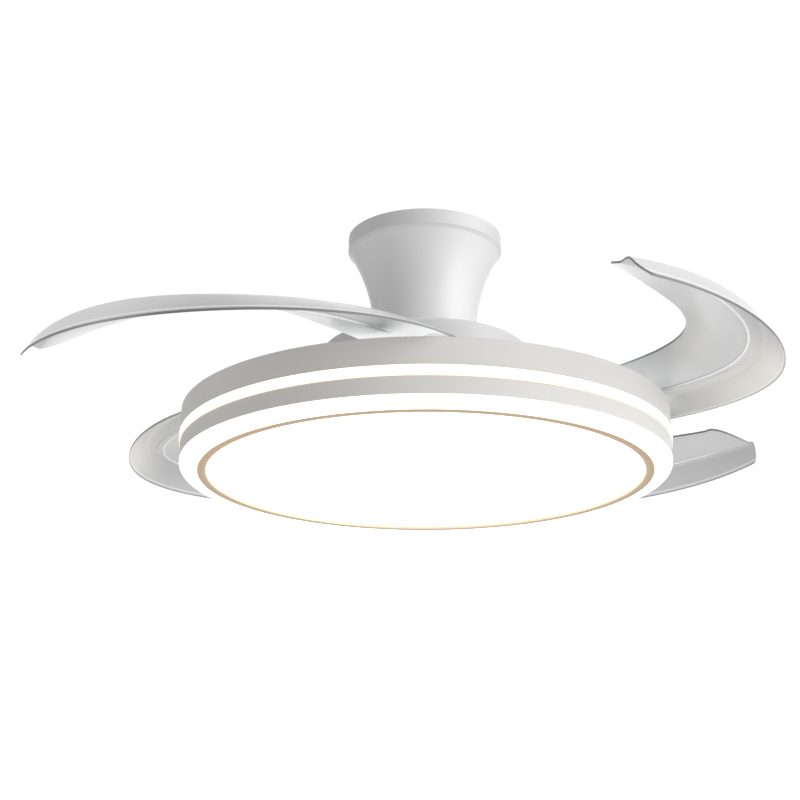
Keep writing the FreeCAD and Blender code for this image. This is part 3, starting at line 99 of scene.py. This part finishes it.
class Tree:
    """A material's node tree with short names for the nodes that the finishes use."""

    def __init__(self, name):
        self.mat = bpy.data.materials.new(name)
        self.mat.use_nodes = True
        self.nt = self.mat.node_tree
        self.nt.nodes.clear()
        self.out = self.nt.nodes.new("ShaderNodeOutputMaterial")
        self.bsdf = self.nt.nodes.new("ShaderNodeBsdfPrincipled")
        self.nt.links.new(self.bsdf.outputs[0], self.out.inputs[0])
        self._coords = None

    def put(self, socket, value):
        if hasattr(value, "is_output"):
            self.nt.links.new(value, socket)
        else:
            socket.default_value = value

    def set(self, **values):
        for key, value in values.items():
            self.put(self.bsdf.inputs[key.replace("_", " ")], value)
        return self

    def coords(self, what="Object"):
        if self._coords is None:
            self._coords = self.nt.nodes.new("ShaderNodeTexCoord")
        return self._coords.outputs[what]

    def math(self, op, a, b=0.0, c=0.0, clamp=False):
        n = self.nt.nodes.new("ShaderNodeMath")
        n.operation = op
        n.use_clamp = clamp
        self.put(n.inputs[0], a)
        self.put(n.inputs[1], b)
        self.put(n.inputs[2], c)
        return n.outputs[0]

    def vmath(self, op, a, b=(0.0, 0.0, 0.0)):
        n = self.nt.nodes.new("ShaderNodeVectorMath")
        n.operation = op
        self.put(n.inputs[0], a)
        self.put(n.inputs[1], b)
        return n.outputs["Value"] if op in ("LENGTH", "DOT_PRODUCT", "DISTANCE") else n.outputs[0]

    def split(self, v):
        n = self.nt.nodes.new("ShaderNodeSeparateXYZ")
        self.put(n.inputs[0], v)
        return n.outputs[0], n.outputs[1], n.outputs[2]

    def join(self, x, y, z):
        n = self.nt.nodes.new("ShaderNodeCombineXYZ")
        for i, v in enumerate((x, y, z)):
            self.put(n.inputs[i], v)
        return n.outputs[0]

    def turned(self, v, degrees):
        n = self.nt.nodes.new("ShaderNodeVectorRotate")
        n.rotation_type = "Z_AXIS"
        self.put(n.inputs["Vector"], v)
        n.inputs["Angle"].default_value = math.radians(degrees)
        return n.outputs[0]

    def scaled(self, v, s):
        return self.vmath("MULTIPLY", v, s)

    def noise(self, scale, detail=3.0, rough=0.5, vector=None, distortion=0.0):
        n = self.nt.nodes.new("ShaderNodeTexNoise")
        self.put(n.inputs["Vector"], vector if vector is not None else self.coords())
        n.inputs["Scale"].default_value = scale
        n.inputs["Detail"].default_value = detail
        n.inputs["Roughness"].default_value = rough
        n.inputs["Distortion"].default_value = distortion
        return n.outputs["Fac"]

    def voronoi(self, scale, vector=None, feature="F1", out="Distance"):
        n = self.nt.nodes.new("ShaderNodeTexVoronoi")
        n.feature = feature
        self.put(n.inputs["Vector"], vector if vector is not None else self.coords())
        n.inputs["Scale"].default_value = scale
        return n.outputs[out]

    def wave(self, scale, direction="Z", vector=None, distortion=0.0):
        n = self.nt.nodes.new("ShaderNodeTexWave")
        n.bands_direction = direction
        self.put(n.inputs["Vector"], vector if vector is not None else self.coords())
        n.inputs["Scale"].default_value = scale
        n.inputs["Distortion"].default_value = distortion
        return n.outputs["Fac"]

    def remap(self, v, a0, a1, b0=0.0, b1=1.0, smooth=False):
        n = self.nt.nodes.new("ShaderNodeMapRange")
        n.interpolation_type = "SMOOTHSTEP" if smooth else "LINEAR"
        self.put(n.inputs["Value"], v)
        for key, x in (("From Min", a0), ("From Max", a1), ("To Min", b0), ("To Max", b1)):
            n.inputs[key].default_value = x
        return n.outputs[0]

    def ramp(self, fac, stops, mode="LINEAR"):
        n = self.nt.nodes.new("ShaderNodeValToRGB")
        self.put(n.inputs[0], fac)
        e = n.color_ramp.elements
        n.color_ramp.interpolation = mode
        while len(e) > 1:
            e.remove(e[-1])
        e[0].position, e[0].color = stops[0][0], (*stops[0][1], 1.0)
        for pos, colour in stops[1:]:
            e.new(pos).color = (*colour, 1.0)
        return n.outputs[0]

    def mix(self, fac, a, b, blend="MIX"):
        n = self.nt.nodes.new("ShaderNodeMix")
        n.data_type = "RGBA"
        n.blend_type = blend
        self.put(n.inputs[0], fac)
        for socket, value in ((n.inputs[6], a), (n.inputs[7], b)):
            self.put(socket, value if hasattr(value, "is_output") else (*value, 1.0))
        return n.outputs[2]

    def bump(self, height, distance, strength=1.0, normal=None):
        n = self.nt.nodes.new("ShaderNodeBump")
        self.put(n.inputs["Height"], height)
        n.inputs["Distance"].default_value = distance
        n.inputs["Strength"].default_value = strength
        if normal is not None:
            self.put(n.inputs["Normal"], normal)
        return n.outputs[0]


def shade(colour, k):
    return tuple(min(1.0, c * k) for c in colour)


# ---------------------------------------------------------------- finishes

def enamel(name, colour, rough, peel=0.00002, spread=0.03, coat=0.0):
    """Sprayed and baked paint: faint cloudiness, fine orange peel and uneven gloss."""
    t = Tree(name)
    cloud = t.noise(9.0, 4.0, 0.55)
    speck = t.noise(420.0, 2.0, 0.6)
    fac = t.math("ADD", t.math("MULTIPLY", cloud, 0.75), t.math("MULTIPLY", speck, 0.25))
    t.set(Base_Color=t.ramp(fac, [(0.3, shade(colour, 1 - spread)), (0.7, shade(colour, 1 + spread))]))
    t.set(Roughness=t.remap(t.noise(60.0, 3.0), 0.3, 0.7, rough - 0.04, rough + 0.05))
    t.set(Normal=t.bump(t.noise(900.0, 2.0, 0.5), peel))
    t.bsdf.inputs["Coat Weight"].default_value = coat
    t.bsdf.inputs["Coat Roughness"].default_value = 0.18
    return t


def canopy_enamel():
    t = enamel("white_satin_enamel", (0.612, 0.612, 0.612), 0.36, 0.000012, 0.012)
    # painted shade: the upright band is painted darker than the flare
    band = t.remap(t.split(t.coords())[2], -0.0172, -0.0155)
    paint = t.bsdf.inputs["Base Color"].links[0].from_socket
    t.set(Base_Color=t.mix(band, paint, (0.82, 0.82, 0.82), "MULTIPLY"))
    return t.mat


def drum_enamel():
    t = enamel("drum_enamel", (0.535, 0.527, 0.507), 0.55, 0.000018, 0.015)
    return t.mat


def plastic(name, colour, rough, grain=0.00003, scale=700.0, spread=0.03):
    """Moulded plastic with a fine spark-eroded grain and faint flow clouds."""
    t = Tree(name)
    cloud = t.noise(14.0, 3.0, 0.5, distortion=0.6)
    t.set(Base_Color=t.ramp(cloud, [(0.3, shade(colour, 1 - spread)), (0.72, shade(colour, 1 + spread))]))
    t.set(Roughness=t.remap(t.noise(110.0, 2.0), 0.3, 0.7, rough - 0.05, rough + 0.05))
    cells = t.voronoi(scale)
    t.set(Normal=t.bump(cells, grain))
    return t.mat


def lit_acrylic(name, bands, radial=False, glow=1.25, rings=()):
    """Opal acrylic lit from behind. It is white over its face and turns warm close to its edges; each ring in rings is
    a warm, dimmer painted line, painted shade standing in for the glow's edge at a silhouette.
    """
    t = Tree(name)
    x, y, z = t.split(t.coords())
    r = t.vmath("LENGTH", t.join(x, y, 0.0))
    v = r if radial else z
    mask = None
    for v, centre, reach in [(v, c, w) for c, w in bands] + [(r, c, w) for c, w in rings]:
        d = t.math("ABSOLUTE", t.math("SUBTRACT", v, centre))
        one = t.remap(d, 0.0, reach, 1.0, 0.0, smooth=True)
        mask = one if mask is None else t.math("MAXIMUM", mask, one)
    ripple = t.noise(16.0, 2.0, 0.4)
    core = t.ramp(ripple, [(0.3, (1.0, 0.992, 0.975)), (0.7, (1.0, 0.998, 0.99))])
    colour = t.mix(mask, core, (1.0, 0.80, 0.62))
    t.set(Base_Color=t.mix(mask, (0.85, 0.85, 0.84), (0.42, 0.33, 0.24)), Roughness=t.remap(t.noise(260.0, 2.0), 0.3, 0.7, 0.42, 0.5))
    t.set(Normal=t.bump(t.noise(600.0, 1.0), 0.00001))
    t.put(t.bsdf.inputs["Emission Color"], colour)
    t.put(t.bsdf.inputs["Emission Strength"], t.remap(mask, 0.0, 1.0, glow, 0.70))
    return t.mat


def ring_coords(t):
    """Distance from the axis, angle round it, and height."""
    x, y, z = t.split(t.coords())
    return t.vmath("LENGTH", t.join(x, y, 0.0)), t.math("ARCTAN2", y, x), z


def champagne_gold():
    """Anodised ring, brushed round its length."""
    t = Tree("champagne_gold")
    r, a, z = ring_coords(t)
    line = t.noise(1.0, 4.0, 0.6, vector=t.join(t.math("MULTIPLY", r, 5200.0), t.math("MULTIPLY", a, 5.0), t.math("MULTIPLY", z, 5200.0)))
    cloud = t.noise(22.0, 2.0)
    # painted light and shade across the rounded ring: a painted highlight at the rolled inner edge, painted shade
    # deeper over its face
    across = t.remap(r, 0.2232, 0.2322)
    base = t.ramp(across, [(0.0, (0.64, 0.50, 0.35)), (0.14, (0.54, 0.40, 0.24)), (0.6, (0.445, 0.316, 0.178)), (1.0, (0.50, 0.365, 0.22))])
    base = t.mix(t.remap(line, 0.25, 0.75, 0.0, 0.14), base, (0.66, 0.51, 0.34))
    t.set(Base_Color=t.mix(t.math("MULTIPLY", cloud, 0.10), base, (0.56, 0.43, 0.28)))
    t.bsdf.inputs["Metallic"].default_value = 0.85
    t.set(Roughness=t.remap(line, 0.2, 0.8, 0.34, 0.5))
    t.set(Normal=t.bump(line, 0.00002))
    return t.mat


def metal(name, colour, rough, kind="turned", coarse=3200.0):
    """Bare or plated metal, with turning rings, rolling lines or a cast skin."""
    t = Tree(name)
    r, a, z = ring_coords(t)
    if kind == "turned":
        mark = t.noise(1.0, 3.0, 0.6, vector=t.join(t.math("MULTIPLY", r, coarse), t.math("MULTIPLY", a, 2.0), t.math("MULTIPLY", z, coarse)))
        depth = 0.00001
    elif kind == "rolled":
        mark = t.noise(1.0, 4.0, 0.6, vector=t.scaled(t.coords(), (40.0, 1500.0, 1500.0)))
        depth = 0.000008
    elif kind == "cast":
        mark = t.noise(520.0, 5.0, 0.7)
        depth = 0.00006
    else:
        mark = t.voronoi(160.0, out="Distance")
        depth = 0.000006
    stain = t.noise(30.0, 4.0, 0.6)
    fac = t.math("ADD", t.math("MULTIPLY", mark, 0.6), t.math("MULTIPLY", stain, 0.4))
    t.set(Base_Color=t.ramp(fac, [(0.25, shade(colour, 0.82)), (0.75, shade(colour, 1.12))]))
    t.bsdf.inputs["Metallic"].default_value = 1.0
    t.set(Roughness=t.remap(fac, 0.2, 0.8, rough - 0.07, rough + 0.1))
    t.set(Normal=t.bump(mark, depth))
    return t.mat


def laminations():
    t = Tree("lamination_steel")
    x, y, z = t.split(t.coords())
    sheet = t.wave(320.0, "Z")
    t.set(Base_Color=t.ramp(sheet, [(0.2, (0.035, 0.035, 0.04)), (0.7, (0.13, 0.13, 0.14))]))
    t.bsdf.inputs["Metallic"].default_value = 0.7
    t.set(Roughness=t.remap(t.noise(200.0), 0.3, 0.7, 0.4, 0.55), Normal=t.bump(sheet, 0.00008))
    return t.mat


def copper():
    t = Tree("copper_enamel")
    wire = t.wave(400.0, "Z", distortion=1.5)
    t.set(Base_Color=t.ramp(wire, [(0.1, (0.16, 0.045, 0.012)), (0.6, (0.52, 0.19, 0.06))]))
    t.bsdf.inputs["Metallic"].default_value = 0.6
    t.bsdf.inputs["Coat Weight"].default_value = 0.6
    t.set(Roughness=t.remap(t.noise(150.0), 0.3, 0.7, 0.28, 0.42), Normal=t.bump(wire, 0.0002))
    return t.mat


def magnet():
    t = Tree("magnet_black")
    grain = t.noise(900.0, 5.0, 0.7)
    t.set(Base_Color=t.ramp(grain, [(0.3, (0.018, 0.018, 0.02)), (0.75, (0.06, 0.06, 0.065))]))
    t.bsdf.inputs["Metallic"].default_value = 0.4
    t.set(Roughness=t.remap(grain, 0.3, 0.7, 0.5, 0.68), Normal=t.bump(grain, 0.00006))
    return t.mat


def board():
    """Light board: white solder mask with faint copper tracks below it."""
    t = Tree("circuit_board")
    r, a, z = ring_coords(t)
    lanes = t.math("PINGPONG", t.math("MULTIPLY", r, 60.0), 0.5)
    track = t.remap(lanes, 0.20, 0.23, 0.0, 1.0)
    cloud = t.noise(40.0, 3.0)
    mask = t.ramp(cloud, [(0.3, (0.74, 0.74, 0.71)), (0.7, (0.83, 0.83, 0.80))])
    t.set(Base_Color=t.mix(t.math("MULTIPLY", track, 0.35), mask, (0.62, 0.60, 0.52)))
    t.set(Roughness=t.remap(cloud, 0.3, 0.7, 0.3, 0.42), Normal=t.bump(track, 0.00004))
    return t.mat


def chips():
    t = Tree("led_yellow")
    cells = t.voronoi(900.0)
    t.set(Base_Color=t.ramp(cells, [(0.1, (0.86, 0.66, 0.16)), (0.8, (0.94, 0.80, 0.34))]))
    t.set(Roughness=t.remap(cells, 0.0, 0.8, 0.25, 0.4), Normal=t.bump(cells, 0.00005))
    return t.mat


def blade_plastic(k):
    """Satin greyish-white moulding. Its cut edges are painted dark as shade, with a light line painted just inside
    them as a highlight.
    """
    t = Tree("blade_plastic_%d" % k)
    turn = 90.0 * (k - 1) + ROTOR_PHASE
    p = t.turned(t.coords(), -turn)
    x, y, z = t.split(p)
    dx, dy = t.math("SUBTRACT", x, BLADE_CENTRE[0]), t.math("SUBTRACT", y, BLADE_CENTRE[1])
    reach = t.vmath("LENGTH", t.join(dx, dy, 0.0))
    angle = t.math("ARCTAN2", dy, dx)
    along = t.remap(angle, math.radians(BLADE_ROOT), math.radians(BLADE_ROOT - BLADE_SPAN), 0.0, 1.0)
    stray = t.ramp(along, [(i / 14, (0.5 + 50.0 * spline(SWING_AT, SWING, i / 14),) * 3) for i in range(15)])
    edge = t.math("ADD", t.math("MULTIPLY", t.math("SUBTRACT", stray, 0.5), 0.02), BLADE_R)
    inside = t.math("SUBTRACT", edge, reach)                    # from the outer edge, metres
    # painted shade: faces standing near upright, the cut edges, are painted near black, less so close to the root
    wall_shade = t.remap(t.math("ABSOLUTE", t.split(t.coords("Normal"))[2]), 0.12, 0.30, 1.0, 0.0)
    flow = t.noise(1.0, 3.0, 0.5, vector=t.join(t.math("MULTIPLY", along, 6.0), t.math("MULTIPLY", inside, 30.0), t.math("MULTIPLY", z, 20.0)))
    body = t.ramp(flow, [(0.3, (0.470, 0.474, 0.478)), (0.7, (0.500, 0.500, 0.500))])
    below = t.remap(t.split(t.coords("Normal"))[2], 0.12, -0.12)
    # painted shade: the underside is painted darker close to the outer edge, over the flange
    outer = t.math("MULTIPLY", below, t.remap(inside, 0.046, 0.006, 0.0, 1.0, smooth=True))
    # painted light and shade on the upper side: lighter or darker along the blade as the light falls on it
    upper_side_shading = t.ramp(along, [(0.0, (0.50, 0.502, 0.504)), (0.14, (0.49, 0.492, 0.494)), (0.26, (0.455, 0.457, 0.459)), (0.36, (0.42, 0.422, 0.424)),
                           (0.48, (0.445, 0.447, 0.449)), (0.60, (0.52, 0.522, 0.524)), (0.72, (0.565, 0.567, 0.569)), (0.86, (0.575, 0.577, 0.579))])
    # painted shade: a dark band along the outer edge of the upper side, strong up to the middle and fading towards the
    # tip
    lip_shade = t.math("MULTIPLY", t.remap(inside, 0.020, 0.0, 0.0, 1.0), t.remap(along, 0.55, 0.72, 0.42, 0.10))
    upper_side_shading = t.mix(lip_shade, upper_side_shading, (0.20, 0.201, 0.202))
    body = t.mix(below, upper_side_shading, body)
    body = t.mix(t.math("MULTIPLY", outer, 0.55), body, (0.40, 0.402, 0.405))
    # lighter and warmer again over the middle of that darker band
    warm = t.math("MULTIPLY", outer, t.remap(t.math("ABSOLUTE", t.math("SUBTRACT", along, 0.40)), 0.26, 0.04, 0.0, 0.95, smooth=True))
    body = t.mix(warm, body, (0.66, 0.645, 0.60))
    # painted highlight: a light line about 1.8 mm inside the outer edge
    clear = t.remap(t.math("ABSOLUTE", t.math("SUBTRACT", inside, 0.0018)), 0.0003, 0.0010, 0.45, 0.0)
    body = t.mix(clear, body, (0.78, 0.78, 0.78))
    # painted shade: a near-black hairline along the outer edge of the underside
    edge_shade_line = t.math("MULTIPLY", below, t.remap(inside, 0.0005, 0.0011, 0.62, 0.0))
    body = t.mix(edge_shade_line, body, (0.12, 0.12, 0.123))
    t.set(Base_Color=t.mix(t.math("MULTIPLY", wall_shade, t.remap(along, 0.06, 0.20, 0.20, 0.85, smooth=True)), body, (0.085, 0.085, 0.088)))
    t.set(Roughness=t.remap(t.noise(22.0, 1.0), 0.2, 0.8, 0.30, 0.35))
    t.set(Normal=t.bump(t.noise(800.0, 2.0), 0.000012))
    # painted light: the underside glows a little all over and much more along its inner root and heel, lifting the
    # shade the drum casts there
    t.put(t.bsdf.inputs["Emission Color"], body)
    root = t.math("MULTIPLY", t.remap(along, 0.40, 0.0, 0.0, 1.0, smooth=True), t.remap(inside, 0.030, 0.085, 0.0, 1.0, smooth=True))
    heel = t.math("MULTIPLY", t.remap(along, 0.175, 0.085, 0.0, 1.0, smooth=True), t.remap(inside, 0.002, 0.026, 0.0, 1.0, smooth=True))
    root = t.math("MAXIMUM", root, heel)
    t.put(t.bsdf.inputs["Emission Strength"], t.math("MULTIPLY", below, t.remap(root, 0.0, 1.0, 0.02, 1.40)))
    return t.mat


def rib_plastic(name, colour, rough):
    """Plastic for a line in the moulding: the light rib's colour is a painted highlight, the dark line's colour
    painted shade.
    """
    t = Tree(name)
    flow = t.noise(40.0, 2.0)
    t.set(Base_Color=t.ramp(flow, [(0.3, shade(colour, 0.97)), (0.7, shade(colour, 1.03))]))
    t.set(Roughness=t.remap(t.noise(22.0, 1.0), 0.3, 0.7, rough - 0.02, rough + 0.03))
    t.set(Normal=t.bump(t.noise(900.0, 2.0), 0.000002))
    return t.mat


# painted highlight: the rib along the crease is light; painted shade: the line beside it is dark
HIGHLIGHT_RIB = rib_plastic("highlight_rib", (0.76, 0.76, 0.765), 0.40)
SHADE_LINE = rib_plastic("shaded_line", (0.33, 0.335, 0.34), 0.30)
FINISH = {
    "white_satin_enamel": canopy_enamel(),
    "drum_enamel": drum_enamel(),
    "cover_plastic": plastic("cover_plastic", (0.54, 0.54, 0.54), 0.40, 0.00001),
    "champagne_gold": champagne_gold(),
    "zinc_steel": metal("zinc_steel", (0.58, 0.59, 0.60), 0.36, "spangle"),
    "steel": metal("steel", (0.52, 0.52, 0.53), 0.28, "turned"),
    "cast_aluminium": metal("cast_aluminium", (0.60, 0.61, 0.62), 0.45, "cast"),
    "lamination_steel": laminations(),
    "copper_enamel": copper(),
    "magnet_black": magnet(),
    "nylon": plastic("nylon", (0.74, 0.73, 0.69), 0.45),
    "acetal_gear": plastic("acetal_gear", (0.80, 0.80, 0.78), 0.38),
    "black_plastic": plastic("black_plastic", (0.035, 0.035, 0.038), 0.48),
    "white_plastic": plastic("white_plastic", (0.74, 0.74, 0.73), 0.42),
    "circuit_board": board(),
    "led_yellow": chips(),
    "black_oxide": metal("black_oxide", (0.055, 0.055, 0.06), 0.45, "turned"),
}
LIT = {
    "slit_light_guide": lit_acrylic("lit_slit", [(RIM - 0.0262, 0.0011), (RIM - 0.0366, 0.0011)]),
    # the ring on the skirt is painted shade: a warm, dimmer line standing in for the glow's shaded silhouette edge
    "skirt_diffuser": lit_acrylic("lit_skirt", [(RIM - 0.0528, 0.0018)], rings=[(0.2458, 0.0011)]),
    "main_diffuser": lit_acrylic("lit_face", [(0.2250, 0.0017)], radial=True),
    "side_led_strip": lit_acrylic("lit_strip", [(RIM - 0.0262, 0.0005)], glow=1.0),
}

slot_of = {s["node"]: s["material_slot"] for s in frame["record"]["subparts"]}
for name, obj in nodes.items():
    if name in LIT:
        mat = LIT[name]
    elif slot_of[name] == "blade_plastic":
        mat = blade_plastic(int(name.split("_")[-1]))
    else:
        mat = FINISH[slot_of[name]]
    if not obj.data.materials:
        obj.data.materials.append(mat)
    for i in range(len(obj.data.materials)):
        obj.data.materials[i] = mat

# the blades' soft curves are shaded by area, so that the narrow triangles of the surface don't show
all_smooth = bpy.data.node_groups.new("all_smooth", "GeometryNodeTree")
all_smooth.interface.new_socket("Geometry", in_out="INPUT", socket_type="NodeSocketGeometry")
all_smooth.interface.new_socket("Geometry", in_out="OUTPUT", socket_type="NodeSocketGeometry")
g_in, g_set, g_out = (all_smooth.nodes.new(n) for n in ("NodeGroupInput", "GeometryNodeSetShadeSmooth", "NodeGroupOutput"))
all_smooth.links.new(g_in.outputs[0], g_set.inputs["Geometry"])
all_smooth.links.new(g_set.outputs[0], g_out.inputs[0])
for k in range(1, 5):
    blade = nodes["blade_%d" % k]
    weld = blade.modifiers.new("weld", "WELD")
    weld.merge_threshold = 0.00001
    blade.modifiers.new("smooth", "NODES").node_group = all_smooth
    split = blade.modifiers.new("split", "EDGE_SPLIT")
    split.split_angle = math.radians(21.0)
    split.use_edge_sharp = False
    soft = blade.modifiers.new("soft", "WEIGHTED_NORMAL")
    soft.keep_sharp = False
    soft.mode = "FACE_AREA"
    soft.weight = 50

# ---------------------------------------------------------------- lines on the blades: a light rib along the crease as a painted highlight, and a dark line beside it as painted shade

def strip(name, path, profile, material, closed=False):
    """A swept strip. path holds (point, side, up) frames and profile (across, high) pairs, in metres."""
    verts, faces = [], []
    n, m = len(path), len(profile)
    for i, (p, side, up, grow) in enumerate(path):
        for across, high in profile:
            verts.append(p + side * (across * grow) + up * (high * grow))
    for i in range(n - 1):
        for j in range(m):
            a, b = i * m + j, i * m + (j + 1) % m
            faces.append((a, b, b + m, a + m))
    faces.append(tuple(range(m - 1, -1, -1)))
    faces.append(tuple((n - 1) * m + j for j in range(m)))
    mesh = bpy.data.meshes.new(name)
    mesh.from_pydata([tuple(v) for v in verts], [], faces)
    mesh.update()
    for poly in mesh.polygons:
        poly.use_smooth = True
    obj = bpy.data.objects.new(name, mesh)
    scene.collection.objects.link(obj)
    obj.data.materials.append(material)
    return obj


def underside_path(k, inset, s0, s1, steps=120):
    """Frames along the underside of blade k, inset(s) metres inside its outer edge."""
    blade = nodes["blade_%d" % k]
    dg = bpy.context.evaluated_depsgraph_get()
    tree = BVHTree.FromObject(blade, dg)
    to_local = blade.matrix_world.inverted()
    points = []
    for i in range(steps + 1):
        s = s0 + (s1 - s0) * i / steps
        x, y = blade_plan(k, s, inset(s))
        hit, normal, _, _ = tree.ray_cast(to_local @ Vector((x, y, -0.4)), Vector((0.0, 0.0, 1.0)))
        if hit is not None:
            normal = normal if normal.z < 0 else -normal
            points.append((blade.matrix_world @ hit, normal.normalized()))
    # the CAD surface is a mesh of facets, so the path is evened out over its neighbours
    for _ in range(3):
        even = []
        for i in range(len(points)):
            near = min(3, i, len(points) - 1 - i)
            group = points[i - near:i + near + 1]
            even.append((sum((g[0] for g in group), Vector()) / len(group), sum((g[1] for g in group), Vector()).normalized()))
        points = even
    out = []
    for i, (p, up) in enumerate(points):
        ahead = (points[min(i + 1, len(points) - 1)][0] - points[max(i - 1, 0)][0]).normalized()
        side = ahead.cross(up).normalized()
        ends = min(i, len(points) - 1 - i) / 8.0
        out.append((p, side, side.cross(ahead).normalized() * (1.0 if side.cross(ahead).dot(up) > 0 else -1.0), min(1.0, 0.15 + ends)))
    return out


def half_round(width, height, sunk, n=7):
    pts = [(width / 2 * math.cos(math.pi * i / (n - 1)), height * math.sin(math.pi * i / (n - 1))) for i in range(n)]
    return pts + [(-width / 2, -sunk), (width / 2, -sunk)]


for k in range(1, 5):
    rib = strip("crease_rib_%d" % k, underside_path(k, crease, 0.10, 0.95),
                half_round(0.0027, 0.00105, 0.0008), HIGHLIGHT_RIB)
    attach(rib, "blade_arm_%d" % k)
    line = strip("crease_line_%d" % k, underside_path(k, lambda s: crease(s) - 0.0035 - 0.016 * max(0.0, s - 0.15), 0.155, 0.46),
                 half_round(0.0008, 0.00022, 0.0004), SHADE_LINE)
    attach(line, "blade_arm_%d" % k)

# ---------------------------------------------------------------- stage

floor_mesh = bpy.data.meshes.new("floor")
floor_mesh.from_pydata([(-9, -9, 0), (9, -9, 0), (9, 9, 0), (-9, 9, 0)], [], [(0, 1, 2, 3)])
floor = bpy.data.objects.new("floor", floor_mesh)
floor.location = (0.0, 0.0, -2.4)
scene.collection.objects.link(floor)
t = Tree("pale_floor")
t.set(Base_Color=t.ramp(t.noise(3.0, 4.0), [(0.3, (0.80, 0.80, 0.80)), (0.7, (0.84, 0.84, 0.84))]))
t.set(Roughness=t.remap(t.noise(30.0), 0.3, 0.7, 0.7, 0.8))
floor.data.materials.append(t.mat)

world = bpy.data.worlds.new("studio")
scene.world = world
world.use_nodes = True
wt = world.node_tree
wt.nodes.clear()


def wn(kind, **inputs):
    n = wt.nodes.new(kind)
    for key, value in inputs.items():
        key = int(key[1:]) if key[1:].isdigit() else key
        if hasattr(value, "is_output"):
            wt.links.new(value, n.inputs[key])
        else:
            n.inputs[key].default_value = value
    return n


tc = wn("ShaderNodeTexCoord")
sx = wn("ShaderNodeSeparateXYZ", _0=tc.outputs["Generated"])
minus_y = wn("ShaderNodeMath", _0=sx.outputs[1], _1=-1.0)
minus_y.operation = "MULTIPLY"
az = wn("ShaderNodeMath", _0=sx.outputs[0], _1=minus_y.outputs[0])
az.operation = "ARCTAN2"
share = wn("ShaderNodeMapRange", Value=az.outputs[0])
share.inputs["From Min"].default_value = -math.pi
share.inputs["From Max"].default_value = math.pi
# brightness of the studio round the object: 0 and 1 behind it, 0.5 behind the camera, 0.25 on its left
ramp = wn("ShaderNodeValToRGB", _0=share.outputs[0])
els = ramp.color_ramp.elements
PEAK = 3.32
STOPS = [(0.0, 2.03), (0.1, 0.4), (0.2, 0.84), (0.3, 0.4), (0.4, 0.4), (0.5, 0.4), (0.6, 1.45), (0.7, 3.32), (0.8, 0.4), (0.9, 0.4), (1.0, 2.03)]
while len(els) > 1:
    els.remove(els[-1])
els[0].position, els[0].color = STOPS[0][0], (STOPS[0][1] / PEAK,) * 3 + (1.0,)
for pos, v in STOPS[1:]:
    els.new(pos).color = (v / PEAK, v / PEAK, v / PEAK, 1.0)
studio = wn("ShaderNodeBackground", Color=ramp.outputs[0], Strength=PEAK)
white = wn("ShaderNodeBackground", Color=(1.0, 1.0, 1.0, 1.0), Strength=1.05)
path = wn("ShaderNodeLightPath")
both = wn("ShaderNodeMixShader", _0=path.outputs["Is Camera Ray"], _1=studio.outputs[0], _2=white.outputs[0])
wn("ShaderNodeOutputWorld", Surface=both.outputs[0])


def softbox(name, where, aim, size, power, colour=(1.0, 1.0, 1.0)):
    data = bpy.data.lights.new(name, "AREA")
    data.shape = "RECTANGLE"
    data.size, data.size_y = size
    data.energy = power
    data.color = colour
    lamp = bpy.data.objects.new(name, data)
    lamp.location = where
    lamp.rotation_euler = (Vector(aim) - Vector(where)).to_track_quat("-Z", "Y").to_euler()
    lamp.visible_camera = False
    scene.collection.objects.link(lamp)
    return lamp


softbox("key_right", (1.9, -1.4, -0.1), (0.0, 0.0, -0.2), (1.2, 1.2), 12.2)
softbox("low_right", (1.6, -0.6, -1.5), (0.0, 0.0, -0.2), (1.2, 1.2), 17.0)
softbox("low_left", (-1.6, -0.8, -1.6), (0.0, 0.0, -0.2), (1.2, 1.2), 3.1)
softbox("left_edge", (-2.0, 0.2, -0.7), (0.0, 0.0, -0.2), (1.0, 1.2), 3.4)
# a flagged softbox that reaches only the blades
fill = softbox("left_fill", (-1.7, -0.80, 0.05), (-0.3, -0.25, -0.18), (1.0, 1.0), 11.5)
flag = bpy.data.collections.new("left_fill_reaches")
for k in range(1, 5):
    flag.objects.link(nodes["blade_%d" % k])
fill.light_linking.receiver_collection = flag
softbox("high_front", (0.2, -1.6, 0.5), (0.0, 0.0, -0.2), (1.4, 0.8), 1.6)

# ---------------------------------------------------------------- camera

EL, YAW, ROLL, PITCH = (math.radians(a) for a in (17.24, -0.9, 0.12, 0.71))
DIST = 1.655
place = Vector((0.0, -DIST * math.cos(EL), -DIST * math.sin(EL)))
forward = -place.normalized()
right = Vector((1.0, 0.0, 0.0))
upward = right.cross(forward)
rows = Matrix((right, upward, forward))
cy, sy, cp, sp, cr, sr = math.cos(YAW), math.sin(YAW), math.cos(PITCH), math.sin(PITCH), math.cos(ROLL), math.sin(ROLL)
ry = Matrix(((cy, 0, -sy), (0, 1, 0), (sy, 0, cy)))
rx = Matrix(((1, 0, 0), (0, cp, -sp), (0, sp, cp)))
rz = Matrix(((cr, -sr, 0), (sr, cr, 0), (0, 0, 1)))
q = rz @ rx @ ry @ rows
cam_data = bpy.data.cameras.new("camera")
cam_data.sensor_width = 36.0
cam_data.lens = 72.0
cam_data.clip_start, cam_data.clip_end = 0.05, 60.0
cam = bpy.data.objects.new("camera", cam_data)
cam.matrix_world = Matrix.Translation(place + Vector((0.0, 0.0, RIM))) @ Matrix((q[0], q[1], -q[2])).transposed().to_4x4()
scene.collection.objects.link(cam)
scene.camera = cam
scene.view_settings.view_transform = "Standard"
scene.view_settings.look = "None"
